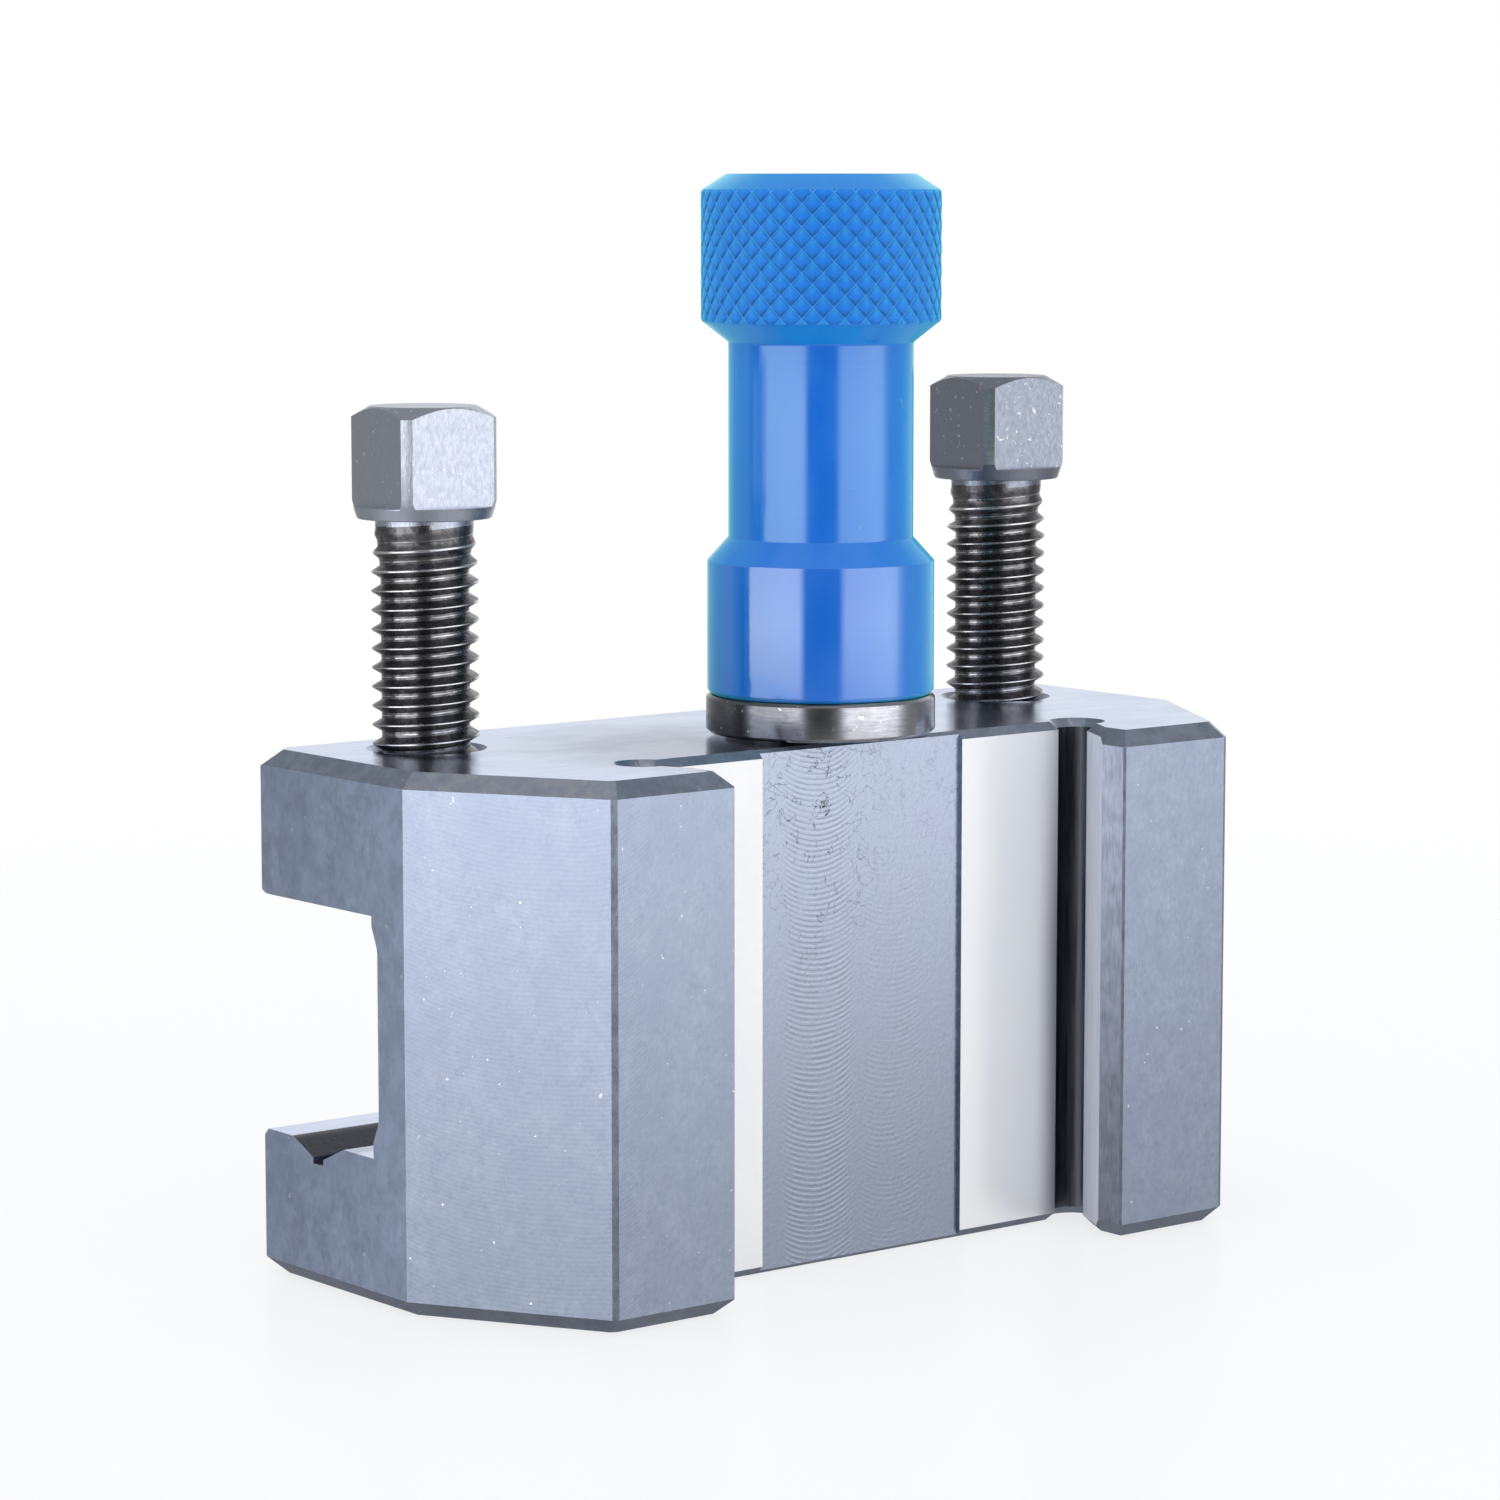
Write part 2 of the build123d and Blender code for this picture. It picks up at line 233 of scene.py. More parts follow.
def floor_finish():
    """Nearly white, with a soft shadow, and clear far away from the block."""
    finish = bpy.data.materials.new("pale_floor")
    finish.use_nodes = True
    tree = finish.node_tree
    tree.nodes.clear()
    place = add_node(tree, "ShaderNodeTexCoord").outputs["Object"]
    distance = measured("LENGTH", place)
    cloud = noise(place, 9.0, 2.0)
    lit = add_node(tree, "ShaderNodeBsdfPrincipled", {
        "Base Color": mix_tint(cloud, tint(0.92, 0.955, 1.0), tint(0.96, 0.98, 1.0)),
        "Roughness": 0.3,
        "Specular IOR Level": 0.25,
    })
    own = add_node(tree, "ShaderNodeEmission", {"Color": tint(0.99, 0.997, 1.0), "Strength": 1.0})
    path = add_node(tree, "ShaderNodeLightPath").outputs
    own_share = times(path["Is Camera Ray"], own_light)
    pale = add_node(tree, "ShaderNodeMixShader", {0: own_share, 1: lit.outputs[0], 2: own.outputs[0]})
    clear = add_node(tree, "ShaderNodeBsdfTransparent")
    unseen = reckon("MAXIMUM", fade(distance, clear_from, clear_by), path["Is Glossy Ray"])
    whole = add_node(tree, "ShaderNodeMixShader", {0: unseen, 1: pale.outputs[0], 2: clear.outputs[0]})
    add_node(tree, "ShaderNodeOutputMaterial", {"Surface": whole.outputs[0]})
    return finish


def lay_floor():
    """A round sheet just under the block."""
    rim = [2 * pi * step / floor_sides for step in range(floor_sides)]
    sheet = bpy.data.meshes.new("floor")
    corners = [(floor_radius * cos(a), floor_radius * sin(a), -floor_drop) for a in rim]
    sheet.from_pydata(corners, [], [tuple(range(floor_sides))])
    ground = bpy.data.objects.new("floor", sheet)
    bpy.context.scene.collection.objects.link(ground)
    sheet.materials.append(floor_finish())
    return ground


print("floor:", lay_floor().name, floor_radius, "m in radius")

# %% [markdown]
# ## Marks that several finishes share
# Machined steel is never one colour. Five marks turn up again and again: the fine grain of the
# surface, the arcs that a milling cutter leaves, the rings that a lathe tool leaves, small nicks
# and scratches. Each is a node group with named inputs, and a finish asks for it with its own.

# %% Helpers for node groups
def start_group(name, outputs, **inputs):
    """A shader group that reads a place. Returns the group, what comes in and where results go.
    Spaces in an input's name are written as underscores."""
    group = bpy.data.node_groups.new(name, "ShaderNodeTree")
    for label, value in {"Place": (0, 0, 0), **inputs}.items():
        kind = "NodeSocketVector" if isinstance(value, tuple) else "NodeSocketFloat"
        socket = group.interface.new_socket(label.replace("_", " "), in_out="INPUT", socket_type=kind)
        socket.default_value = value
    for label in outputs:
        group.interface.new_socket(label, in_out="OUTPUT", socket_type="NodeSocketFloat")
    arrives = group.nodes.new("NodeGroupInput").outputs
    leaves = group.nodes.new("NodeGroupOutput").inputs
    return group, arrives, leaves


def use_group(group, **feeds):
    """Places a group in a finish. Returns its outputs."""
    spaced = {name.replace("_", " "): source for name, source in feeds.items()}
    return add_node(graph_of(*feeds.values()), "ShaderNodeGroup", spaced, node_tree=group).outputs


# %% [markdown]
# ### Grain
# Grain is noise that may be stretched: equal in all directions for a blasted or blued surface,
# long and thin for one that was ground or brushed. Stretching the place before the noise reads
# it does both with one group.

# %% Grain
def grain_group():
    group, given, result = start_group("grain", ["Amount"], Squeeze=(1, 1, 1), Detail=3.0)
    squeezed = add_node(group, "ShaderNodeVectorMath", {0: given["Place"], 1: given["Squeeze"]},
                        operation="MULTIPLY").outputs[0]
    clouds = noise(squeezed, 1.0, given["Detail"], Roughness=0.6)
    group.links.new(fade(clouds, 0.28, 0.72), result["Amount"])
    return group


def grained(place, squeeze, detail):
    """Places the grain in a finish. Returns how much of it lies at each point, from 0 to 1."""
    return use_group(grain, Place=place, Squeeze=squeeze, Detail=detail)["Amount"]


grain = grain_group()
print("group:", grain.name)

# %% [markdown]
# ### Cutter arcs
# A milling cutter that moves down a face leaves one arc for each step of its feed. A point is on
# an arc when its height plus the arc's own rise there is a whole number of steps, so a sine of
# that sum draws them all. The arcs fade out to the sides, where the cutter's edge rose clear.

# %% Cutter arcs
def arcs_group():
    group, given, result = start_group("cutter arcs", ["Wave", "Cover"], Centre=0.0, Radius=7.0, Step=0.5,
                                       Half_Width=3.0, Soft_Edge=1.0)
    x, _, z = parts_of(given["Place"])
    aside = reckon("SUBTRACT", x, given["Centre"])
    squared = times(aside, aside)
    left = reckon("SUBTRACT", times(given["Radius"], given["Radius"]), squared)
    rise = reckon("SQRT", reckon("MAXIMUM", left, 0.0))
    uneven = noise(given["Place"], 0.14, 1.0)
    height = plus(plus(z, rise), uneven)
    steps = reckon("DIVIDE", height, given["Step"])
    wave = reckon("SINE", times(steps, 2 * pi))
    group.links.new(reckon("MULTIPLY_ADD", wave, 0.5, 0.5), result["Wave"])
    away = reckon("ABSOLUTE", aside)
    end = plus(given["Half Width"], given["Soft Edge"])
    group.links.new(fade(away, given["Half Width"], end, 1.0, 0.0), result["Cover"])
    return group


cutter_arcs = arcs_group()
print("group:", cutter_arcs.name)

# %% [markdown]
# ### Turning rings
# A lathe tool cuts a very fine thread round a turned piece. From a little way off it reads as
# rings of slightly different depth, so noise that only depends on the height is enough.

# %% Turning rings
def rings_group():
    group, given, result = start_group("turning rings", ["Height"], Rings_per_mm=6.0)
    line = times(parts_of(given["Place"])["Z"], given["Rings per mm"])
    feeds = {"W": line, "Scale": 1.0, "Detail": 3.0}
    depths = add_node(group, "ShaderNodeTexNoise", feeds, noise_dimensions="1D").outputs[0]
    group.links.new(depths, result["Height"])
    return group


turning_rings = rings_group()
print("group:", turning_rings.name)

# %% [markdown]
# ### Nicks
# Handling leaves small bright or dark marks, far apart. Only the highest peaks of a noise are
# kept, so raising the threshold makes them rarer without making them larger.

# %% Nicks
def nicks_group():
    group, given, result = start_group("nicks", ["Mask"], Per_mm=1.0, Threshold=0.7)
    peaks = noise(given["Place"], given["Per mm"], 1.0, Distortion=0.6)
    top = plus(given["Threshold"], 0.03)
    group.links.new(fade(peaks, given["Threshold"], top), result["Mask"])
    return group


nicks = nicks_group()
print("group:", nicks.name)

# %% [markdown]
# ### Scratches
# A scratch is long, thin and curved, like a contour line on a map. So it is drawn as one: a thin
# line where a noise passes through its middle value, kept only where a second, slower noise is
# high, which breaks the endless contours into short marks.

# %% Scratches
def scratches_group():
    group, given, result = start_group("scratches", ["Mask"], Per_mm=0.8, Width=0.012, Rarity=0.6)
    hills = noise(given["Place"], given["Per mm"], 3.0, Distortion=0.8)
    patches = noise(given["Place"], times(given["Per mm"], 0.7), 4.0)
    off_line = reckon("ABSOLUTE", reckon("SUBTRACT", hills, 0.5))
    line = fade(off_line, 0.0, given["Width"], 1.0, 0.0)
    kept = fade(patches, given["Rarity"], plus(given["Rarity"], 0.04))
    group.links.new(times(line, kept), result["Mask"])
    return group


scratches = scratches_group()
print("group:", scratches.name)

# %% [markdown]
# ## Starting a finish
# Each finish is a Principled shader. Its place is read from the object and counted in
# millimetres, because a maker thinks of a 0.5 mm feed, not of 0.0005. Pieces keep their
# places in their meshes, so the marks stay put on a piece when its joint moves.

# %% Start a finish
def start_finish(name, metallic, roughness):
    """A new material with its shader. Returns the material, its shader and the place in mm."""
    finish = bpy.data.materials.new(name)
    finish.use_nodes = True
    tree = finish.node_tree
    tree.nodes.clear()
    shader = add_node(tree, "ShaderNodeBsdfPrincipled", {"Metallic": metallic, "Roughness": roughness})
    add_node(tree, "ShaderNodeOutputMaterial", {"Surface": shader.outputs[0]})
    spot = add_node(tree, "ShaderNodeTexCoord").outputs["Object"]
    return finish, shader, scaled(spot, 1 / mm)


def relief_on(shader, height, depth, below=None):
    """Feeds a Bump node: height 1 stands depth, in mm, over height 0."""
    feeds = {"Height": height, "Strength": 1.0, "Distance": depth * mm}
    if below is not None:
        feeds["Normal"] = below
    bump = add_node(shader.id_data, "ShaderNodeBump", feeds).outputs[0]
    feed(bump, shader, "Normal")
    return bump


def feed(source, shader, socket):
    """Links a result to a socket of the shader."""
    shader.id_data.links.new(source, shader.inputs[socket])


# %% [markdown]
# ## Blued, milled steel
# The block was milled all over and then chemically blued: grey with a blue cast, half matt, and
# a little cloudy. Paint would be the wrong idea, because blueing is thin and lets the metal
# shine. So the shader is full metal, its colour drifts between three near greys, and its
# roughness drifts with it. Low down on the long sides the colour is painted darker, as painted
# shade from the dim floor, and on the ends it is painted darker towards the back. Faint cutter
# arcs and rare bright nicks finish it.

# %% Blued steel
def blued_steel(name, light, dark, roughness, arc_depth, along, stretch, levels):
    """The last three paint the steel darker along a direction, a painted shade low down on the long
    sides: the direction, over which stretch of it, in mm, that changes, and from which level to which."""
    finish, shader, place = start_finish(name, 1.0, roughness)
    cloud = grained(place, (0.2, 0.2, 0.15), 3.0)
    mottle = grained(place, (0.6, 0.6, 0.5), 6.0)
    fine = grained(place, (2.2, 2.2, 1.8), 5.0)
    mixed = plus(times(mottle, 0.55), times(fine, 0.45))
    even = mix_tint(mixed, dark, light)
    drift = tint(dark[0] * 1.14, dark[1] * 1.10, dark[2] * 1.14)
    clouded = mix_tint(times(cloud, 0.42), even, drift)
    # Painted shade: the colour is painted darker along a direction, low down on the sides and towards the
    # back on the ends.
    with_painted_shade = scaled(clouded, fade(measured("DOT_PRODUCT", place, along), *stretch, *levels))
    speck = use_group(nicks, Place=place, Per_mm=1.9, Threshold=0.765)["Mask"]
    scratch = use_group(scratches, Place=place, Per_mm=0.35, Width=0.004, Rarity=0.66)["Mask"]
    bright = reckon("MAXIMUM", speck, times(scratch, 0.3))
    feed(mix_tint(bright, with_painted_shade, tint(0.92, 0.94, 0.98)), shader, "Base Color")
    feed(fade(mixed, 0.0, 1.0, roughness - 0.05, roughness + 0.06), shader, "Roughness")
    arcs = use_group(cutter_arcs, Place=place, Centre=-39.0, Radius=11.0, Step=0.42,
                     Half_Width=7.0, Soft_Edge=4.0)
    wave = times(arcs["Wave"], arcs["Cover"])
    low = relief_on(shader, wave, arc_depth)
    relief_on(shader, mixed, 0.008, low)
    return finish


upwards, to_the_front = (0, 0, 1), (0, -1, 0)
# The sides are painted darker low down, as painted shade, and the ends darker towards the back.
milled = blued_steel("blued_milled_steel", tint(0.50, 0.57, 0.71), tint(0.31, 0.36, 0.47), 0.36, 0.0015,
                     upwards, (-6, 56), (0.80, 1.16))
sawn = blued_steel("blued_end", tint(0.50, 0.60, 0.78), tint(0.38, 0.46, 0.615), 0.46, 0.0,
                   to_the_front, (-16, 6), (1.02, 1.22))
print("finishes:", milled.name, sawn.name)

# %% [markdown]
# ## The top face
# The top was surface ground before blueing, so it mirrors the screws and the collar. Only its
# roughness differs from the sides: low, with long thin grain along the block. Left of the
# collar, towards the left screw, a wide patch is painted darker, a painted shadow and dark
# reflection of the collar.

# %% Ground and blued top
block_height = 47.4                       # mm
# Where the painted shadow and reflection on the top is darkest, in mm.
painted_shade_middle = (-13.0, -4.0, block_height)


def ground_blued_top():
    finish, shader, place = start_finish("ground_blued_top", 1.0, 0.2)
    lines = grained(place, (0.12, 3.2, 1.0), 3.0)
    cloud = grained(place, (0.15, 0.2, 1.0), 2.0)
    tone = mix_tint(lines, tint(0.69, 0.74, 0.90), tint(0.80, 0.845, 1.0))
    # Painted shadow and reflection: darker round a point left of the collar.
    painted_shade_and_reflection = fade(measured("DISTANCE", place, painted_shade_middle), 4.0, 24.0, 0.50, 1.0)
    feed(scaled(tone, painted_shade_and_reflection), shader, "Base Color")
    shader.inputs["Specular Tint"].default_value = tint(0.90, 0.945, 1.0)
    feed(fade(cloud, 0.0, 1.0, 0.17, 0.24), shader, "Roughness")
    relief_on(shader, lines, 0.0012)
    return finish


top_finish = ground_blued_top()
print("finish:", top_finish.name)

# %% [markdown]
# ## Bright ground steel
# The two strips that pull up against the tool post are ground after blueing, so they are bare
# and bright. A grinding wheel leaves short, fine, level lines. Ground steel scatters more light
# than polished steel, so most of its light is matt. Near the inner corner of the right strip,
# where its jaw shades it, the colour is painted dark, as painted shade.

# %% Bright ground steel
def bright_ground_steel():
    finish, shader, place = start_finish("bright_ground_steel", 0.34, 0.3)
    lines = grained(place, (0.25, 0.25, 9.0), 4.0)
    cloud = grained(place, (0.3, 0.3, 0.09), 1.0)
    tone = mix_tint(cloud, tint(0.99, 0.995, 1.0), tint(0.96, 0.975, 1.0))
    x, _, z = parts_of(place)
    # Painted shade: dark near the inner corner of the right strip, strongest low down.
    painted_corner_shade = times(fade(x, 20.8, 24.2), fade(z, 47.0, 24.0, 0.35, 1.0))
    feed(mix_tint(painted_corner_shade, tone, tint(0.34, 0.35, 0.40)), shader, "Base Color")
    feed(fade(lines, 0.0, 1.0, 0.28, 0.34), shader, "Roughness")
    relief_on(shader, lines, 0.0005)
    return finish


ground = bright_ground_steel()
print("finish:", ground.name)

# %% [markdown]
# ## The milled channel
# Between the strips runs a shallow channel, cut in two passes of an end mill. The first pass
# shows as a column of smile-shaped arcs left of the middle, the second as a fainter one to the
# right. Near the top the cutter tore the steel, which left dark pits. Bump alone would hardly
# show on such a low relief, so each arc also gets a painted highlight on its ridge and painted
# shade in its hollow. The channel is also painted darker low down, as painted shade.

# %% Milled channel
first_pass, second_pass = -4.9, 3.9       # where the cutter's axis ran, in mm along the block
cutter_radius = 6.9
channel_feed = 0.5


def milled_channel():
    finish, shader, place = start_finish("milled_channel", 1.0, 0.36)
    fine = grained(place, (2.6, 2.6, 2.6), 4.0)
    cloud = grained(place, (0.3, 0.3, 0.2), 2.0)
    even = mix_tint(fine, tint(0.39, 0.45, 0.56), tint(0.515, 0.575, 0.70))
    drift = mix_tint(times(cloud, 0.4), even, tint(0.46, 0.49, 0.64))
    x, _, z = parts_of(place)
    # Painted shade: the channel is painted darker low down.
    with_painted_shade = scaled(drift, fade(z, -4.0, 54.0, 0.70, 1.22))
    main = use_group(cutter_arcs, Place=place, Centre=first_pass, Radius=cutter_radius,
                     Step=channel_feed, Half_Width=2.6, Soft_Edge=2.2)
    faint = use_group(cutter_arcs, Place=place, Centre=second_pass, Radius=cutter_radius,
                      Step=channel_feed, Half_Width=2.4, Soft_Edge=2.2)
    patchy = grained(place, (0.5, 0.5, 0.35), 3.0)
    main_amount = times(main["Cover"], fade(patchy, 0.0, 0.7, 0.35, 1.0))
    lower = fade(z, 42.0, 28.0, 0.1, 1.0)
    faint_amount = times(times(faint["Cover"], lower), times(patchy, 0.5))

    def where_wave_is(start, full):
        """Both passes where their waves run from start to full, each as strong as it is there."""
        return plus(times(fade(main["Wave"], start, full), main_amount),
                    times(fade(faint["Wave"], start, full), faint_amount))

    hollow, ridge = where_wave_is(0.70, 0.98), where_wave_is(0.26, 0.02)
    # Painted shade in the arcs' hollows, and painted highlight on their ridges.
    shaded = mix_tint(times(hollow, 0.40), with_painted_shade, tint(0.17, 0.19, 0.25))
    with_painted_arc_light = mix_tint(times(ridge, 0.34), shaded, tint(0.76, 0.80, 0.92))
    aside = reckon("ABSOLUTE", reckon("SUBTRACT", x, first_pass))
    beside = fade(aside, 1.5, 9.0, 1.0, 0.25)
    tears = use_group(scratches, Place=place, Per_mm=0.55, Width=0.015, Rarity=0.46)["Mask"]
    higher = fade(z, 20.0, 43.0, 0.0, 0.95)
    torn = times(tears, times(beside, higher))
    feed(mix_tint(torn, with_painted_arc_light, tint(0.07, 0.075, 0.10)), shader, "Base Color")
    feed(fade(fine, 0.0, 1.0, 0.31, 0.42), shader, "Roughness")
    low = relief_on(shader, reckon("SUBTRACT", ridge, hollow), 0.004)
    relief_on(shader, reckon("SUBTRACT", fine, torn), 0.006, low)
    return finish


channel = milled_channel()
print("finish:", channel.name, "with a feed of", channel_feed, "mm")

# %% [markdown]
# ## Edges, flanks, reliefs and lips of the block
# Four small finishes complete the block. Blueing wears off the broken edges first, so they
# shine. The flanks of the dovetail are bare and matt, so they stay pale although they face the
# reliefs drilled in its corners. Those reliefs, and the groove in the slot, are painted nearly
# black, as painted shade in these recesses. The short straight lips in front of the flanks show
# upright streaks from a broach, and are painted darker low down, as painted shade.

# %% Edges, flanks, reliefs and lips
def grained_metal(name, metallic, roughness, squeeze, detail, tones, relief=0.0):
    """A metal whose grain mixes two tones and, where roughness is a pair, its two ends."""
    uneven = isinstance(roughness, tuple)
    finish, shader, place = start_finish(name, metallic, roughness[0] if uneven else roughness)
    amount = grained(place, squeeze, detail)
    feed(mix_tint(amount, *tones), shader, "Base Color")
    if uneven:
        feed(fade(amount, 0.0, 1.0, *roughness), shader, "Roughness")
    if relief:
        relief_on(shader, amount, relief)
    return finish


def streaked_lip():
    finish, shader, place = start_finish("streaked_lip", 0.45, 0.5)
    streaks = grained(place, (3.6, 3.6, 0.5), 4.0)
    cloud = grained(place, (0.5, 0.5, 0.4), 2.0)
    marked = times(plus(cloud, streaks), 0.5)
    tone = mix_tint(marked, tint(0.30, 0.335, 0.42), tint(0.58, 0.62, 0.74))
    # Painted shade: the lip is painted darker low down.
    painted_height_shade = fade(parts_of(place)["Z"], 0.0, 50.0, 0.60, 1.42)
    feed(scaled(tone, painted_height_shade), shader, "Base Color")
    relief_on(shader, streaks, 0.008)
    return finish


edge_finish = grained_metal("worn_edge", 1.0, (0.4, 0.26), (0.7, 0.7, 0.5), 3.0,
                            (tint(0.52, 0.585, 0.74), tint(0.81, 0.875, 1.0)))
flank_finish = grained_metal("matt_ground_flank", 0.1, 0.6, (1.5, 1.5, 0.15), 3.0,
                             (tint(0.80, 0.83, 0.97), tint(0.91, 0.935, 1.0)), relief=0.004)
# Painted shade: the reliefs and the slot's groove are painted nearly black.
recess_shade_finish = grained_metal("painted_recess_shade", 1.0, (0.32, 0.5), (2.0, 2.0, 0.12), 3.0,
                              (tint(0.095, 0.102, 0.125), tint(0.175, 0.185, 0.22)), relief=0.01)
lip_finish = streaked_lip()
print("finishes:", edge_finish.name, flank_finish.name, recess_shade_finish.name, lip_finish.name)

# %% [markdown]
# ## The block
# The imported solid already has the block's true shape, down to its chamfers. What it lacks is
# what light needs: an edge on a real part is never a perfect line, and a hair of radius gives
# the thin bright line that makes steel look like steel. A copy of the mesh is cleaned to whole
# flat faces, each face gets its finish from the way it looks and where it lies, and then every
# sharp edge is broken by a tenth of a millimetre.

# %% Which finish each face of the block takes, with its places in mm
half_length, groove_bottom, slot_floor = 45.75, 9.0, 13.2
seat_depth, channel_floor, lip_x = -9.9, -9.47, 22.75
relief_x, relief_y, relief_radius = 25.507, -10.396, 1.9
close, near_relief = 0.05, 0.08       # how near a face lies to the plane, or the relief, that names it
square_on = 0.99                      # the part of a normal along an axis from which a face is square to it
near_level, near_upright = 0.8, 0.1   # the part of a normal along Z of a nearly level and of an upright face
slanted, turned_back = 0.3, 0.4       # the part of a normal along X or Y of a corner's bevel and of a flank
block_finishes = [milled, edge_finish, top_finish, ground, channel, recess_shade_finish, lip_finish, flank_finish,
                  sawn]
milled_at, edge_at, top_at, ground_at, channel_at, recess_shade_at, lip_at, flank_at, end_at = range(9)


def block_face_finish(normal, centre):
    """Which of block_finishes a face takes. centre is in mm."""
    if normal.z > square_on and centre.z > block_height - close:
        return top_at
    if groove_bottom < centre.z < slot_floor + close and normal.z > near_level:
        return top_at if normal.z > square_on and centre.z > slot_floor - close else recess_shade_at
    if abs(normal.x) > square_on and abs(centre.x) > half_length - close:
        return end_at
    if 0.5 < normal.z < 0.9 and abs(normal.x) > slanted and normal.y < -slanted:
        return edge_at
    if normal.y < -square_on and abs(centre.y - seat_depth) < close:
        return ground_at
    if normal.y < -square_on and abs(centre.y - channel_floor) < close:
        return channel_at
    in_mouth = centre.y < seat_depth + relief_radius and abs(centre.x) < relief_x + relief_radius
    if abs(normal.z) < near_upright and in_mouth:
        from_relief = hypot(abs(centre.x) - relief_x, centre.y - relief_y)
        if abs(from_relief - relief_radius) < near_relief:
            return recess_shade_at
        if normal.y > turned_back and centre.y < seat_depth:
            return flank_at
        if abs(abs(centre.x) - lip_x) < close:
            return lip_at
    return milled_at


# %% Helper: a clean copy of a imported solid
weld_within, flat_within = 0.0005, 0.4        # mm and degrees, for points and faces that belong together


def packed_shape(node):
    """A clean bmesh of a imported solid: its points and faces, without its stored normals."""
    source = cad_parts[node].data
    bare = bpy.data.meshes.new("bare_" + node)
    corners = [tuple(v.co) for v in source.vertices]
    bare.from_pydata(corners, [], [tuple(p.vertices) for p in source.polygons])
    shape = bmesh.new()
    shape.from_mesh(bare)
    bpy.data.meshes.remove(bare)
    bmesh.ops.remove_doubles(shape, verts=shape.verts, dist=weld_within * mm)
    bmesh.ops.dissolve_limit(shape, angle_limit=radians(flat_within), verts=shape.verts, edges=shape.edges)
    return shape


# %% Helpers: rounding the block's edges
edge_break = 0.11                     # mm
rear_corner, rear_round = 18.0, 0.38  # mm: upright corners beyond this depth are filed round, this much
sharp_angle = 24.0                    # degrees, an edge that turns more than this is broken


def round_edges(shape, edges, width, segments):
    """Rounds edges by width, in mm. The new faces take the worn finish."""
    bmesh.ops.bevel(shape, geom=edges, offset=width * mm, offset_type="OFFSET", segments=segments,
                    profile=0.5, affect="EDGES", clamp_overlap=True, material=edge_at, loop_slide=True)
    return len(edges)


def round_rear_corners(shape):
    """Rounds the upright corners on the slot's side, which were filed and not only broken."""
    def at_corner(edge):
        a, b = (v.co / mm for v in edge.verts)
        upright = hypot(a.x - b.x, a.y - b.y) < 0.01
        return upright and abs(a.x) > half_length - 1.0 and a.y > rear_corner
    corners = [e for e in shape.edges if e.is_manifold and at_corner(e)]
    return round_edges(shape, corners, rear_round, 3)


def break_edges(shape):
    """Rounds every edge that turns by more than sharp_angle."""
    sharp = [e for e in shape.edges if e.is_manifold and e.calc_face_angle(0.0) > radians(sharp_angle)]
    return round_edges(shape, sharp, edge_break, 2)


# %% Helper: a finished piece
def finished_piece(name, mesh, finishes, body, node, smooth_to=35.0):
    """Makes mesh a piece of the object: shaded, finished, riding on its body, for its node."""
    for finish in finishes:
        mesh.materials.append(finish)
    mesh.shade_smooth()
    mesh.set_sharp_from_angle(angle=radians(smooth_to))
    piece = bpy.data.objects.new(name, mesh)
    bpy.context.scene.collection.objects.link(piece)
    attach(piece, body)
    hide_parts(node)
    print(name, "has", len(mesh.vertices), "points and", len(mesh.polygons), "faces")
    return piece


# %% Build the block
def build_block():
    shape = packed_shape("holder_body")
    for face in shape.faces:
        face.material_index = block_face_finish(face.normal, face.calc_center_median() / mm)
    print("rear corners rounded:", round_rear_corners(shape))
    print("edges broken:", break_edges(shape))
    mesh = bpy.data.meshes.new("holder_block")
    shape.to_mesh(mesh)
    shape.free()
    piece = finished_piece("holder_block", mesh, block_finishes, "holder", "holder_body",
                           smooth_to=50.0)
    weighted = piece.modifiers.new("flats stay flat", "WEIGHTED_NORMAL")
    weighted.keep_sharp = True


build_block()

# %% [markdown]
# ## Skinning rings of points
# Everything else on the holder was turned or threaded, so it can be built as rings of points
# round an axis, one ring above the other, with a skin between them. Where points fall together,
# as on an axis or at the end of a thread, they are welded, and a face that has lost its area is
# left out. Rings of a thread climb as they go round, so the end of one meets the start of
# another, a whole turn higher. That keeps the meshes closed and clean.

# %% Helper: skin rings
weld_rings = 0.0002           # mm, points of the rings this near to each other are one


def mesh_from(name, points, faces):
    mesh = bpy.data.meshes.new(name)
    mesh.from_pydata(points, [], faces)
    mesh.validate()
    return mesh


def skin_rings(name, rings, loop=False, cut_corner=None, climbs=None):
    """A mesh over rings that run up the outside. loop joins the last ring to the first.
    cut_corner(column, row) may say "rise" or "fall" for a face that folds along that diagonal.
    climbs is (first, last, turn) for threaded rings: their ends meet a turn of rings higher."""
    points, index = [], {}

    def number(point):
        key = tuple(round(value / (weld_rings * mm)) for value in point)
        if key not in index:
            index[key] = len(points)
            points.append(point)
        return index[key]

    grid = [[number(point) for point in ring] for ring in rings]
    faces = []
    columns = len(rings[0])
    pairs = list(zip(grid, grid[1:])) + ([(grid[-1], grid[0])] if loop else [])
    for row, (low, high) in enumerate(pairs):
        for column in range(columns):
            after = (column + 1) % columns
            a, b, c, d = low[column], low[after], high[after], high[column]
            if climbs and after == 0 and climbs[0] <= row < climbs[1]:
                b, c = (grid[min(row + climbs[2] + up, climbs[1])][0] for up in (0, 1))
            fold = cut_corner(column, row) if cut_corner else None
            if fold == "rise":
                shapes = [(a, b, c), (a, c, d)]
            elif fold == "fall":
                shapes = [(a, b, d), (b, c, d)]
            else:
                shapes = [(a, b, c, d)]
            for corners in shapes:
                kept = [v for at, v in enumerate(corners) if v != corners[at - 1]]
                if len(kept) > 2 and len(set(kept)) == len(kept):
                    faces.append(tuple(kept))
    return mesh_from(name, points, faces)


# %% Helpers: points and rings
def even_angles(count):
    """count angles once round, in radians."""
    return [2 * pi * step / count for step in range(count)]


